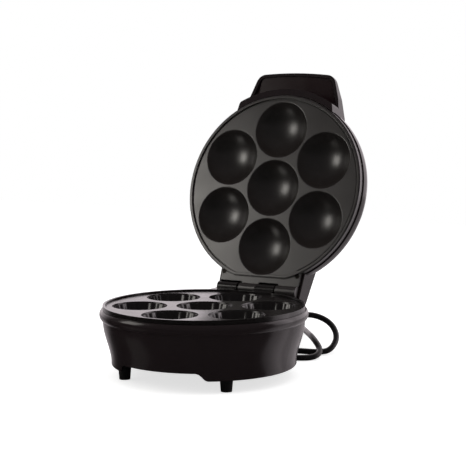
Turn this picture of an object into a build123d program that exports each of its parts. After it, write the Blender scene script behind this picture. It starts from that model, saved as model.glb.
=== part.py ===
from build123d import *
from math import asin, cos, degrees, pi, radians, sin, sqrt, tan
import os

# Cupcake maker with a hinged lid. Millimetres, +Z up, +X to the user's right, -Y to the user.
# The lid is modelled closed about the axis of the round plates, then turned open on its hinge.
# At the end everything moves back in Y, so that the origin is under the middle of the open cooker.

# Screws and fits
FIT = 0.3
SCREW_R = 1.5
SCREW_HEAD_R = 2.8
SCREW_HEAD_H = 2.0
SCREW_HOLE_R = SCREW_R + FIT
SCREW_BITE = 8.0
SCREW_SLOT = 0.7
THREAD_CLEARANCE = 0.05
BIG = 400.0

# Cups and domes
CUP_COUNT = 6
CUP_OPENING_R = 31.4
CUP_FLOOR_R = 21.5
CUP_DEPTH = 33.0
CUP_WALL = 2.6
FLUTE_COUNT = 16
FLUTE_DEPTH = 0.9
FLUTE_MOUTH_DEPTH = 0.5
FLOOR_BEVEL = 2.5
LEAD_IN = 1.6
LEAD_IN_RUN = 1.0
LEAD_IN_LIP = 0.12
CUP_MOUTH_R = CUP_OPENING_R - LEAD_IN_RUN
DOME_OVERLAP = 3.2
DOME_OPENING_R = CUP_OPENING_R + DOME_OVERLAP
DOME_DEPTH = 22.0
DOME_WALL = 1.9
DOME_BEVEL = 0.7
DOME_R = (DOME_OPENING_R**2 + DOME_DEPTH**2) / (2 * DOME_DEPTH)
DOME_SPACING = 3.8
CUP_PITCH = 2 * DOME_OPENING_R + DOME_SPACING

# Heights of the base, stacked from the table up to the face of the lower plate
SKIRT_Z = 13.7
SKIRT_ROUND = 3.0
SKIRT_EDGE = 1.6
WALL_LOW_Z = SKIRT_Z + SKIRT_ROUND
COVER_INSET = 10.3
COVER_THICK = 2.6
COVER_Z = SKIRT_Z + COVER_INSET
COVER_TOP_Z = COVER_Z + COVER_THICK
BLOCK_H = 11.0
BLOCK_CLEARANCE = 0.6
PAN_FLOOR_Z = COVER_TOP_Z + BLOCK_H + BLOCK_CLEARANCE
SHEET = 0.8
PAN_TO_CUPS = 6.1
CUP_UNDER_Z = PAN_FLOOR_Z + PAN_TO_CUPS
CUP_FLOOR_Z = CUP_UNDER_Z + CUP_WALL
LOWER_FACE_Z = CUP_FLOOR_Z + CUP_DEPTH
LOWER_WEB = 4.4
LOWER_WEB_Z = LOWER_FACE_Z - LOWER_WEB
FLANGE_THICK = 3.1
FLANGE_Z = LOWER_FACE_Z - FLANGE_THICK
BEAD_TOP_Z = FLANGE_Z
BEAD_H = 11.0
BEAD_LOW_Z = BEAD_TOP_Z - BEAD_H
NECK_STEP = 2.3
WALL_TOP_Z = BEAD_LOW_Z - NECK_STEP
LEDGE_DROP = 9.5
LEDGE_Z = LOWER_WEB_Z - LEDGE_DROP
LEDGE_THICK = 4.0
LEDGE_WIDTH = 12.0

# Heights of the lid, stacked from the lower plate's ridge
RIDGE_H = 2.1
RIDGE_TOP_Z = LOWER_FACE_Z + RIDGE_H
PLATE_GAP = 0.3
UPPER_RIDGE_Z = RIDGE_TOP_Z + PLATE_GAP
UPPER_RIDGE_H = 1.7
UPPER_RIM_STEP = 1.0
UPPER_FACE_Z = UPPER_RIDGE_Z + UPPER_RIDGE_H
UPPER_WEB = 3.0
UPPER_WEB_Z = UPPER_FACE_Z + UPPER_WEB
UPPER_FLANGE_H = 6.0
UPPER_FLANGE_Z = UPPER_FACE_Z + UPPER_FLANGE_H
UPPER_FLANGE_WALL = 2.4
DOME_CENTRE_Z = UPPER_FACE_Z + DOME_DEPTH - DOME_R
DOME_TOP_Z = UPPER_FACE_Z + DOME_DEPTH + DOME_WALL
SHIELD_CLEARANCE = 3.1
SHIELD_Z = DOME_TOP_Z + SHIELD_CLEARANCE
LID_LIP = 1.6
LID_LOW_Z = UPPER_FLANGE_Z + LID_LIP
LID_SIDE_H = 5.4
LID_SHOULDER_Z = LID_LOW_Z + LID_SIDE_H
LID_RISE = 16.4
LID_CROWN_Z = SHIELD_Z + LID_RISE

# Rims of the plates
PLATE_MARGIN = 10.4
LOWER_PLATE_R = CUP_PITCH + CUP_OPENING_R + PLATE_MARGIN
UPPER_OVERHANG = 1.4
UPPER_PLATE_R = LOWER_PLATE_R + UPPER_OVERHANG
RIM_WIDTH = 2.9
GROOVE_WIDTH = 1.5
GROOVE_DEPTH = 0.7
CHORD_INSET = 3.9
CHORD_Y = LOWER_PLATE_R - CHORD_INSET
CHORD_ROUND = 14.0

# Hinge
HINGE_REACH = 15.1
HINGE_Y = CHORD_Y + HINGE_REACH
HINGE_LIFT = 0.4
HINGE_Z = RIDGE_TOP_Z + HINGE_LIFT
OPEN_DEG = 106.9
KNUCKLE_R = 6.5
BARREL_HALF = 53.3
KNUCKLE_SPLITS = (-25.0, 0.0, 25.4)
KNUCKLE_GAPS = (2.4, 0.8, 1.6)
PIN_R = 2.2
PIN_CLEARANCE = 0.05
PIN_END_WALL = 4.8
PIN_START_GAP = 0.5
LUG_THICK = 4.7
LUG_ROOT = 15.9
TAB_SIDE = 0.7
TAB_HALF = BARREL_HALF + TAB_SIDE
TAB_DEPTH = 6.5
TAB_Y = CHORD_Y + TAB_DEPTH
TAB_ROOT = 10.9
TAB_THICK = 4.0
TAB_CHEEK_H = 10.0
TAB_CHEEK = 4.0
TAB_CHEEK_L = 10.4
TAB_BOSS_R = 4.0
TAB_BOSS_INSET = 4.1
TAB_SCREW_X = TAB_HALF - TAB_BOSS_INSET
TAB_SCREW_Y = TAB_Y - TAB_CHEEK_L - TAB_SIDE

# Housing
HOUSING_WALL = 2.8
RIM_SEAT = 3.4
RIM_BORE_R = LOWER_PLATE_R - RIM_SEAT
NECK_INSET = 0.2
HOUSING_NECK_R = LOWER_PLATE_R - NECK_INSET
HOUSING_TAPER = 9.4
HOUSING_FOOT_R = HOUSING_NECK_R - HOUSING_TAPER
BEAD_SIDE = 1.4
BEAD_LIP = 1.9
BEAD_PROUD = 3.9
BEAD_R = HOUSING_NECK_R + BEAD_PROUD
ARCH_HALF_TOP = 44.6
ARCH_HALF_FOOT = 60.0
ARCH_RISE = 8.8
ARCH_DEEP = 6.0
ARCH_LOW = 0.6
ARCH_TOP_Z = SKIRT_Z + ARCH_RISE

# Bottom cover, feet and the pillars that hold the cover
COVER_GAP = 0.5
FOOT_INSET = 13.5
FOOT_CIRCLE_R = HOUSING_FOOT_R - FOOT_INSET
FOOT_FRONT_DEG = 46.0
FOOT_REAR_INSET = 11.7
FOOT_REAR_CIRCLE_R = HOUSING_FOOT_R - FOOT_REAR_INSET
FOOT_REAR_DEG = 30.0
FOOT_BOTTOM_R = 6.2
FOOT_TOP_R = 8.2
FOOT_SPIGOT_R = 4.0
FOOT_RECESS = 12.0
FOOT_BOSS_R = 6.0
FOOT_BOSS_H = 6.4
FOOT_BOSS_TOP_Z = COVER_TOP_Z + FOOT_BOSS_H
PILLAR_INSET = 8.2
PILLAR_CIRCLE_R = HOUSING_FOOT_R - PILLAR_INSET
PILLAR_R = 4.0
PILLAR_RIB = 2.4
PILLAR_CAP = 1.4
PILLAR_TOP_Z = COVER_TOP_Z + SCREW_BITE + PILLAR_CAP
PILLAR_DEGS = (20.0, 160.0, 200.0, 340.0)
VENT_COUNT = 7
VENT_PITCH = 12.0
VENT_W = 3.2
VENT_L = 46.0

# Fixing points between the cups, where the plates have flat metal
GAP_DEGS = (0.0, 180.0, 240.0, 300.0)
PLATE_SCREW_INSET = 6.8
PLATE_SCREW_R = LOWER_PLATE_R - PLATE_SCREW_INSET
PLATE_BOSS_R = 2.9

# Heating elements, clamps
ELEMENT_R = 3.3
ELEMENT_RING_R = CUP_PITCH / 2
ELEMENT_BEND = 12.0
ELEMENT_LEG_DEGS = (60.0, 120.0)
ELEMENT_LEG_INSET = 15.8
ELEMENT_LEG_END = LOWER_PLATE_R - ELEMENT_LEG_INSET
ELEMENT_DROP = 7.5
LOWER_ELEMENT_Z = LOWER_WEB_Z - ELEMENT_DROP
ELEMENT_LIFT = 7.0
UPPER_ELEMENT_Z = UPPER_WEB_Z + ELEMENT_LIFT
TERMINAL_R = 1.6
TERMINAL_LEN = 7.0
CLAMP_BOSS_R = 3.4
CLAMP_SCREW_OUT = 9.5
CLAMP_SCREW_CIRCLE = ELEMENT_RING_R + CLAMP_SCREW_OUT
CLAMP_THICK = 1.2
CLAMP_HALF_W = 4.0
CLAMP_LIP = 3.1
CLAMP_INNER_R = ELEMENT_RING_R - CLAMP_LIP
PAD_R = 2.2

# Reflector pan and upper heat shield
PAN_SCREW_MARGIN = 3.4
PAN_MOUTH_R = PLATE_SCREW_R - PAN_SCREW_MARGIN
PAN_TAPER = 5.4
PAN_FLOOR_R = PAN_MOUTH_R - PAN_TAPER
PAN_FLANGE_LIP = 2.6
PAN_FLANGE_R = PLATE_SCREW_R + PAN_FLANGE_LIP
SHIELD_INSET = 13.2
SHIELD_R = UPPER_PLATE_R - SHIELD_INSET
SHIELD_POST_R = 3.6
SHIELD_POST_INSET = 4.0
SHIELD_POST_CIRCLE = SHIELD_R - SHIELD_POST_INSET
SHIELD_NOTCH = 7.0

# Thermostats and fuse
STAT_R = 8.0
STAT_BODY_R = 7.0
STAT_CAP_H = 4.0
STAT_BODY_H = 5.5
STAT_EAR = 12.0
STAT_EAR_R = 3.2
STAT_EAR_THICK = 1.2
STAT_PAD_RISE = 1.6
STAT_UPPER_Z = DOME_TOP_Z + STAT_PAD_RISE
STAT_TAG_X = 3.6
TAG_THICK = 0.8
TAG_W = 6.3
STAT_TAG_H = 4.0
STAT_CLEARANCE = 1.3
STAT_PASS_R = STAT_EAR + STAT_EAR_R + STAT_CLEARANCE
FUSE_R = 2.1
FUSE_LEN = 12.0
FUSE_X = -34.0
FUSE_Y = -20.0
CLIP_WIDTH = 5.0
CLIP_FOOT = 4.0

# Lid cover
LID_OVERHANG = 1.4
LID_R = UPPER_PLATE_R + LID_OVERHANG
LID_WALL = 2.4
LID_LEDGE_W = 1.6
LID_LEDGE_R = UPPER_PLATE_R - UPPER_FLANGE_WALL + LID_LEDGE_W
PILLAR_LID_R = 4.5
PILLAR_LID_H = 18.0
LID_SHOULDER_R = 22.0
LID_CROWN_DEG = 80.0
CRESCENT_LIFT = 0.6
CRESCENT_Z = UPPER_FACE_Z + CRESCENT_LIFT
CRESCENT_CLEARANCE = 0.8
CRESCENT_IN_R = UPPER_PLATE_R + CRESCENT_CLEARANCE
CRESCENT_THICK = 7.8
CRESCENT_R = CRESCENT_IN_R + CRESCENT_THICK
CRESCENT_DROP = 14.4
CRESCENT_TOP_Z = LID_CROWN_Z - CRESCENT_DROP
CRESCENT_CORNER = 5.5
TONGUE_HALF = 12.0
TONGUE_REACH = 4.3
TONGUE_OUT_Y = -UPPER_PLATE_R - TONGUE_REACH
TONGUE_LIFT = 2.0
TONGUE_Z = UPPER_FACE_Z + TONGUE_LIFT
TONGUE_THICK = 2.0

# Handle hood, by its distance in front of the lid's side and under the crown
HANDLE_REACH = 32.9
HANDLE_FRONT_Y = -LID_R - HANDLE_REACH
HANDLE_BOW = 2.9
HANDLE_CORNER_Y = HANDLE_FRONT_Y + HANDLE_BOW
HANDLE_HALF = 52.0
HANDLE_MID_HALF = 61.5
HANDLE_MID_REACH = 1.4
HANDLE_MID_Y = -LID_R - HANDLE_MID_REACH
HANDLE_ROOT_RUN = 21.6
HANDLE_ROOT_Y = HANDLE_ROOT_RUN - LID_R
HANDLE_ROOT_INSET = 1.1
HANDLE_ROOT_HALF = sqrt((LID_R - HANDLE_ROOT_INSET) ** 2 - HANDLE_ROOT_Y**2)
HANDLE_CORNER_R = 13.0
HANDLE_UNDER_DROP = 23.8
HANDLE_UNDER_Z = LID_CROWN_Z - HANDLE_UNDER_DROP
HANDLE_EDGE_DROP = 20.2
HANDLE_EDGE_Z = LID_CROWN_Z - HANDLE_EDGE_DROP
HANDLE_ROOT_DROP = 6.0
HANDLE_ROOT_TOP_Z = LID_CROWN_Z - HANDLE_ROOT_DROP
HANDLE_FADE_RUN = 77.6
HANDLE_FADE_Y = HANDLE_FADE_RUN - LID_R
HANDLE_FADE_HALF = 50.0
HANDLE_FADE_DROP = 4.0
HANDLE_FADE_Z = LID_CROWN_Z - HANDLE_FADE_DROP
HANDLE_RIM = 4.0
PANEL_THICK = 1.8
PANEL_GAP = 0.3
PANEL_FRONT_LIFT = 0.8
PANEL_FRONT_Z = HANDLE_UNDER_Z + PANEL_FRONT_LIFT
PANEL_BEND_REACH = 4.4
PANEL_BEND_Y = -LID_R - PANEL_BEND_REACH
PANEL_BEND_LIFT = 5.4
PANEL_BEND_Z = HANDLE_UNDER_Z + PANEL_BEND_LIFT
PANEL_ROOT_LIFT = 7.4
PANEL_ROOT_Z = HANDLE_UNDER_Z + PANEL_ROOT_LIFT

# Tail behind the hinge
TAIL_SIDE = 3.6
TAIL_ROOT_HALF = TAB_HALF + TAIL_SIDE
TAIL_END_SIDE = 2.0
TAIL_END_HALF = TAB_HALF + TAIL_END_SIDE
TAIL_ROOT_RUN = 14.9
TAIL_ROOT_Y = CHORD_Y - TAIL_ROOT_RUN
TAIL_REACH = 16.0
TAIL_END_Y = HINGE_Y + TAIL_REACH
TAIL_LOW_DROP = 0.4
TAIL_LOW_ROOT_Z = UPPER_FLANGE_Z - TAIL_LOW_DROP
TAIL_LOW_END_Z = UPPER_FACE_Z - TAIL_LOW_DROP
TAIL_TOP_DROP = 10.8
TAIL_ROOT_TOP_Z = LID_CROWN_Z - TAIL_TOP_DROP
TAIL_SLOPE_DEG = 17.0
TAIL_CORNER_R = 8.0
TAIL_FADE_RUN = 50.9
TAIL_FADE_Y = CHORD_Y - TAIL_FADE_RUN
TAIL_FADE_INSET = 6.0
TAIL_FADE_HALF = TAB_HALF - TAIL_FADE_INSET
TAIL_FADE_DROP = 6.0
TAIL_FADE_Z = LID_CROWN_Z - TAIL_FADE_DROP

# Lamps
LAMP_X = 12.0
LAMP_Y = -30.0
LENS_R = 4.6
LENS_FLANGE_W = 1.4
LENS_FLANGE_R = LENS_R + LENS_FLANGE_W
LENS_WALL = 1.0
LENS_TOP = 1.6
LENS_DEPTH = 9.0
LAMP_R = 3.0
LAMP_LEN = 8.0

# Terminal block
BLOCK_X = 0.0
BLOCK_Y = 60.0
BLOCK_L = 30.0
BLOCK_W = 18.0
BLOCK_STEP_H = 6.0
BLOCK_STEP_HALF = 5.0
BLOCK_SOCKET_R = 1.5
BLOCK_SOCKET_DEPTH = 5.0
BLOCK_SOCKET_X = 10.0
BLOCK_SOCKET_Z = 6.0

# Mains cord
CORD_R = 3.6
CORD_EXIT_X = 12.0
CORD_EXIT_LIFT = 14.4
CORD_EXIT_Z = COVER_TOP_Z + CORD_EXIT_LIFT
BUSH_LEN = 34.0
BUSH_NECK_R = 5.4
BUSH_FLANGE_R = 7.6
BUSH_FLANGE = 2.2
BUSH_TIP_R = 4.7
BUSH_FACE_INSET = 1.6
BUSH_FACE_Y = HOUSING_NECK_R - BUSH_FACE_INSET
BUSH_SEAT_R = 9.5
BUSH_SEAT_DEPTH = 6.0
BUSH_PAD = 9.0
BUSH_COLLAR_R = 7.0
BUSH_COLLAR = 1.5
BUSH_SHOULDER_R = 6.4
BUSH_GROOVES = 5
BUSH_GROOVE_PITCH = 4.6
BUSH_GROOVE_W = 1.6
BUSH_GROOVE_DEPTH = 0.9
LEAD_R = 1.2
LEAD_GAP = 0.1
LEAD_APART = 3.8

# Plug
PLUG_TAIL_LEN = 14.0
PLUG_TAIL_R = 6.4
PLUG_TAIL_END_R = 4.2
PLUG_BODY_LEN = 32.0
PLUG_WIDTH = 26.0
PLUG_HEIGHT = 15.0
PLUG_ROUND = 4.0
PLUG_PIN_LEN = 17.0
PLUG_PIN_W = 6.3
PLUG_PIN_T = 1.5
PLUG_PIN_GAP = 12.7


def polar(radius, angle):
    """Point at a radius and an angle in degrees from +X."""
    return (radius * cos(radians(angle)), radius * sin(radians(angle)))


def revolved(outline):
    """Solid turned about Z from a closed outline in radius and height."""
    return revolve(Plane.XZ * make_face(outline), Axis.Z)


def disc(radius, low, high, at=(0.0, 0.0), bore=0.0):
    """Upright cylinder or ring between two heights."""
    body = Pos(at[0], at[1], (low + high) / 2) * Cylinder(radius, high - low)
    if bore:
        body -= Pos(at[0], at[1], (low + high) / 2) * Cylinder(bore, high - low + 2)
    return body


def block(x, y, z):
    """Box between two values along each axis."""
    centre = Pos(sum(x) / 2, sum(y) / 2, sum(z) / 2)
    return centre * Box(x[1] - x[0], y[1] - y[0], z[1] - z[0])


def along_x(radius, x, y, z):
    """Cylinder along X between two values of x."""
    return Pos(sum(x) / 2, y, z) * Rot(0, 90, 0) * Cylinder(radius, x[1] - x[0])


def along_y(radius, y, x, z):
    """Cylinder along Y between two values of y."""
    return Pos(x, sum(y) / 2, z) * Rot(90, 0, 0) * Cylinder(radius, y[1] - y[0])


def level(one, other):
    """Two heights in rising order."""
    return (min(one, other), max(one, other))


def side_profile(points):
    """Wide solid with a closed outline in Y and Z, cut from side to side."""
    return extrude(Plane.YZ * make_face(Polyline(*points, close=True)), BIG / 2, both=True)


def screw(at, seat, tip, head=SCREW_HEAD_R):
    """Screw with its head outside the seat height and its shank running to the tip height."""
    way = 1 if tip > seat else -1
    top = seat - way * SCREW_HEAD_H
    shank = disc(SCREW_R, min(seat, tip), max(seat, tip), at)
    cap = disc(head, min(seat, top), max(seat, top), at)
    slot = 0.4 * SCREW_HEAD_H
    cross = Pos(at[0], at[1], top) * (Box(head, SCREW_SLOT, 2 * slot) + Box(SCREW_SLOT, head, 2 * slot))
    return shank + cap - cross


def pilot(at, low, high):
    """Hole that a screw cuts its thread in."""
    return disc(SCREW_R + THREAD_CLEARANCE, low, high, at)


def cup_places():
    """Centres of the middle cup and the ring of cups around it."""
    ring = [polar(CUP_PITCH, 30 + k * 360 / CUP_COUNT) for k in range(CUP_COUNT)]
    return [(0.0, 0.0)] + ring


def gap_places(radius):
    """Points at a radius in the directions that pass between the outer cups."""
    return [polar(radius, angle) for angle in GAP_DEGS]


def foot_places():
    """Centres of the four feet by name."""
    front_x = FOOT_CIRCLE_R * sin(radians(FOOT_FRONT_DEG))
    front_y = -FOOT_CIRCLE_R * cos(radians(FOOT_FRONT_DEG))
    rear_x = FOOT_REAR_CIRCLE_R * sin(radians(FOOT_REAR_DEG))
    rear_y = FOOT_REAR_CIRCLE_R * cos(radians(FOOT_REAR_DEG))
    return {
        "foot_front_left": (-front_x, front_y),
        "foot_front_right": (front_x, front_y),
        "foot_rear_left": (-rear_x, rear_y),
        "foot_rear_right": (rear_x, rear_y),
    }


def knuckle_spans():
    """Ends in x of the four hinge knuckles, from left to right."""
    spans = []
    start = -BARREL_HALF
    for split, gap in zip(KNUCKLE_SPLITS, KNUCKLE_GAPS):
        spans.append((start, split - gap / 2))
        start = split + gap / 2
    spans.append((start, BARREL_HALF))
    return spans


def rim_plan(radius, inset):
    """Round outline with a straight run along the hinge, drawn in by an inset."""
    straight_y = CHORD_Y - inset
    plan = Circle(radius - inset)
    plan -= Pos(0, straight_y + BIG / 2) * Rectangle(BIG, BIG)
    return fillet(plan.vertices(), CHORD_ROUND)


def rim_band(radius, inner_inset, outer_inset, low, high):
    """Raised band that follows the rim outline between two insets."""
    plan = rim_plan(radius, outer_inset) - rim_plan(radius, inner_inset)
    return extrude(Pos(0, 0, low) * plan, high - low)


def wall_radius(z):
    """Outer radius of the housing wall, an S curve between its foot and its neck."""
    t = (z - WALL_LOW_Z) / (WALL_TOP_Z - WALL_LOW_Z)
    t = min(max(t, 0.0), 1.0)
    return HOUSING_FOOT_R + (HOUSING_NECK_R - HOUSING_FOOT_R) * (3 * t**2 - 2 * t**3)


def wall_curve(inset):
    """The housing's S curve from its foot to its neck, drawn in by an inset."""
    third = (WALL_TOP_Z - WALL_LOW_Z) / 3
    low, high = HOUSING_FOOT_R - inset, HOUSING_NECK_R - inset
    return Bezier(
        (low, WALL_LOW_Z),
        (low, WALL_LOW_Z + third),
        (high, WALL_TOP_Z - third),
        (high, WALL_TOP_Z),
    )


def housing_shell():
    """Turned wall of the housing with its bead and its rounded foot."""
    foot_r, neck_r = HOUSING_FOOT_R, HOUSING_NECK_R
    bead_mid = (BEAD_LOW_Z + BEAD_TOP_Z) / 2
    inner_top = (RIM_BORE_R, BEAD_TOP_Z)
    inner_neck = (neck_r - HOUSING_WALL, WALL_TOP_Z)
    outline = [
        wall_curve(0),
        Line((neck_r, WALL_TOP_Z), (neck_r, BEAD_LOW_Z - NECK_STEP / 2)),
        Line((neck_r, BEAD_LOW_Z - NECK_STEP / 2), (neck_r + BEAD_SIDE, BEAD_LOW_Z)),
        ThreePointArc(
            (neck_r + BEAD_SIDE, BEAD_LOW_Z), (BEAD_R, bead_mid), (neck_r + BEAD_LIP, BEAD_TOP_Z)
        ),
        Line((neck_r + BEAD_LIP, BEAD_TOP_Z), inner_top),
        Line(inner_top, (RIM_BORE_R, BEAD_LOW_Z)),
        Line((RIM_BORE_R, BEAD_LOW_Z), inner_neck),
        wall_curve(HOUSING_WALL),
        Line((foot_r - HOUSING_WALL, WALL_LOW_Z), (foot_r - HOUSING_WALL, SKIRT_Z)),
        Line((foot_r - HOUSING_WALL, SKIRT_Z), (foot_r - SKIRT_EDGE, SKIRT_Z)),
        ThreePointArc(
            (foot_r - SKIRT_EDGE, SKIRT_Z),
            (foot_r - SKIRT_EDGE / 4, SKIRT_Z + SKIRT_ROUND / 3),
            (foot_r, WALL_LOW_Z),
        ),
    ]
    return revolved(outline)


def skirt_arch():
    """Tool that cuts the raised arch into the front of the skirt."""
    low, top, deep = SKIRT_Z - ARCH_LOW, ARCH_TOP_Z, SKIRT_Z - ARCH_DEEP
    bend = (ARCH_HALF_FOOT - ARCH_HALF_TOP) / 2
    right = Bezier(
        (ARCH_HALF_TOP, top),
        (ARCH_HALF_TOP + bend, top),
        (ARCH_HALF_FOOT - bend, low),
        (ARCH_HALF_FOOT, low),
    )
    left = Bezier(
        (-ARCH_HALF_FOOT, low),
        (bend - ARCH_HALF_FOOT, low),
        (-ARCH_HALF_TOP - bend, top),
        (-ARCH_HALF_TOP, top),
    )
    sides = Polyline(
        (ARCH_HALF_FOOT, low), (ARCH_HALF_FOOT, deep), (-ARCH_HALF_FOOT, deep), (-ARCH_HALF_FOOT, low)
    )
    face = make_face([left, Line((-ARCH_HALF_TOP, top), (ARCH_HALF_TOP, top)), right, sides])
    return extrude(Plane.XZ * face, BIG / 2)


def base_housing():
    """Outer casing of the base, with ledges for the plate and pillars for the bottom cover."""
    shell = housing_shell()
    arch = skirt_arch()
    shell -= arch
    inside = HOUSING_NECK_R - HOUSING_WALL / 2
    for angle in GAP_DEGS:
        low, high = LEDGE_Z - LEDGE_THICK, LEDGE_Z
        reach = (PLATE_SCREW_R - PLATE_BOSS_R, inside)
        ledge = block(reach, (-LEDGE_WIDTH / 2, LEDGE_WIDTH / 2), (low, high))
        shell += Rot(0, 0, angle) * ledge
    for place in gap_places(PLATE_SCREW_R):
        shell -= disc(SCREW_HOLE_R, LEDGE_Z - 2 * LEDGE_THICK, LEDGE_Z + 1, place)
    for angle in PILLAR_DEGS:
        wall = wall_radius(COVER_TOP_Z) - HOUSING_WALL / 2
        rib_y = (-PILLAR_RIB / 2, PILLAR_RIB / 2)
        rib = block((PILLAR_CIRCLE_R, wall), rib_y, (COVER_TOP_Z, PILLAR_TOP_Z))
        shell += Rot(0, 0, angle) * rib
        shell += disc(PILLAR_R, COVER_TOP_Z, PILLAR_TOP_Z, polar(PILLAR_CIRCLE_R, angle))
    for angle in PILLAR_DEGS:
        shell -= pilot(polar(PILLAR_CIRCLE_R, angle), COVER_Z, COVER_TOP_Z + SCREW_BITE + 1)
    exit_at = (CORD_EXIT_X, CORD_EXIT_Z)
    collar_end = BUSH_FACE_Y - BUSH_SEAT_DEPTH
    shell += along_y(BUSH_SEAT_R, (BUSH_FACE_Y - BUSH_PAD, BUSH_FACE_Y), *exit_at)
    shell -= along_y(BUSH_COLLAR_R + FIT, (BUSH_FACE_Y - 2 * BUSH_PAD, collar_end), *exit_at)
    shell -= along_y(BUSH_NECK_R + FIT / 2, (collar_end - 1, BUSH_FACE_Y + 1), *exit_at)
    return shell


def bottom_cover():
    """Flat cover that closes the housing, with vents and the seats of the feet."""
    radius = wall_radius(COVER_Z) - HOUSING_WALL - COVER_GAP
    cover = disc(radius, COVER_Z, COVER_TOP_Z)
    for k in range(VENT_COUNT):
        x = (k - (VENT_COUNT - 1) / 2) * VENT_PITCH
        slot = Pos(x, 0, COVER_Z + COVER_THICK / 2) * extrude(
            Rot(0, 0, 90) * SlotOverall(VENT_L, VENT_W), COVER_THICK, both=True
        )
        cover -= slot
    for place in foot_places().values():
        cover += disc(FOOT_BOSS_R, COVER_TOP_Z, FOOT_BOSS_TOP_Z, place)
        cover -= disc(FOOT_SPIGOT_R + FIT / 2, COVER_Z - 1, COVER_TOP_Z, place)
        cover -= pilot(place, COVER_TOP_Z - 1, FOOT_BOSS_TOP_Z + 1)
    for angle in PILLAR_DEGS:
        place = polar(PILLAR_CIRCLE_R, angle)
        cover -= disc(SCREW_HOLE_R, COVER_Z - 1, COVER_TOP_Z + 1, place)
    cover -= pilot((BLOCK_X, BLOCK_Y), COVER_Z - 1, COVER_TOP_Z + 1)
    return cover


def foot(place):
    """Tapered foot with a spigot in the cover and a deep recess for its screw."""
    body = Pos(place[0], place[1], COVER_Z / 2) * Cone(FOOT_BOTTOM_R, FOOT_TOP_R, COVER_Z)
    body += disc(FOOT_SPIGOT_R, COVER_Z, COVER_TOP_Z, place)
    body -= disc(SCREW_HEAD_R + FIT, -1, FOOT_RECESS, place)
    body -= disc(SCREW_HOLE_R, FOOT_RECESS, COVER_TOP_Z + 1, place)
    return body


def foot_screws():
    """Screws that pull the feet against the cover."""
    return [screw(place, FOOT_RECESS, FOOT_BOSS_TOP_Z - FIT) for place in foot_places().values()]


def bottom_screws():
    """Screws that hold the bottom cover on the housing's pillars."""
    places = [polar(PILLAR_CIRCLE_R, angle) for angle in PILLAR_DEGS]
    return [screw(place, COVER_Z, COVER_TOP_Z + SCREW_BITE) for place in places]


def flute_outline(radius, depth, z):
    """Closed scalloped outline around a mean radius."""
    step = 360 / (2 * FLUTE_COUNT)
    arcs = []
    for k in range(2 * FLUTE_COUNT):
        bulge = depth if k % 2 else -depth
        ends = (polar(radius, k * step), polar(radius, (k + 1) * step))
        middle = polar(radius + bulge, (k + 0.5) * step)
        arcs.append(ThreePointArc(ends[0], middle, ends[1]))
    return Pos(0, 0, z) * make_face(arcs)


def cup_cavity():
    """Fluted inside of a cup with its lead-in and a bevel round the floor."""
    top = LOWER_FACE_Z - LEAD_IN
    lip = CUP_MOUTH_R + FLUTE_MOUTH_DEPTH + LEAD_IN_LIP
    walls = [
        flute_outline(CUP_MOUTH_R, FLUTE_MOUTH_DEPTH, top),
        flute_outline(CUP_FLOOR_R, FLUTE_DEPTH, CUP_FLOOR_Z + FLOOR_BEVEL),
        flute_outline(CUP_FLOOR_R - FLOOR_BEVEL, FLUTE_DEPTH, CUP_FLOOR_Z),
    ]
    mouth = Cone(lip, CUP_OPENING_R, LEAD_IN)
    return loft(walls, ruled=True) + Pos(0, 0, top + LEAD_IN / 2) * mouth


def cup_shell():
    """Outside of a cup as a plain cone."""
    height = LOWER_FACE_Z - CUP_UNDER_Z
    floor = CUP_FLOOR_R + FLUTE_DEPTH + CUP_WALL
    return Pos(0, 0, CUP_UNDER_Z + height / 2) * Cone(floor, CUP_MOUTH_R + CUP_WALL, height)


def knuckles(spans, bores):
    """Hinge knuckles with their bores."""
    barrel = [along_x(KNUCKLE_R, span, HINGE_Y, HINGE_Z) for span in spans]
    bore_r = PIN_R + PIN_CLEARANCE
    return barrel, [along_x(bore_r, bore, HINGE_Y, HINGE_Z) for bore in bores]


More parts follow.
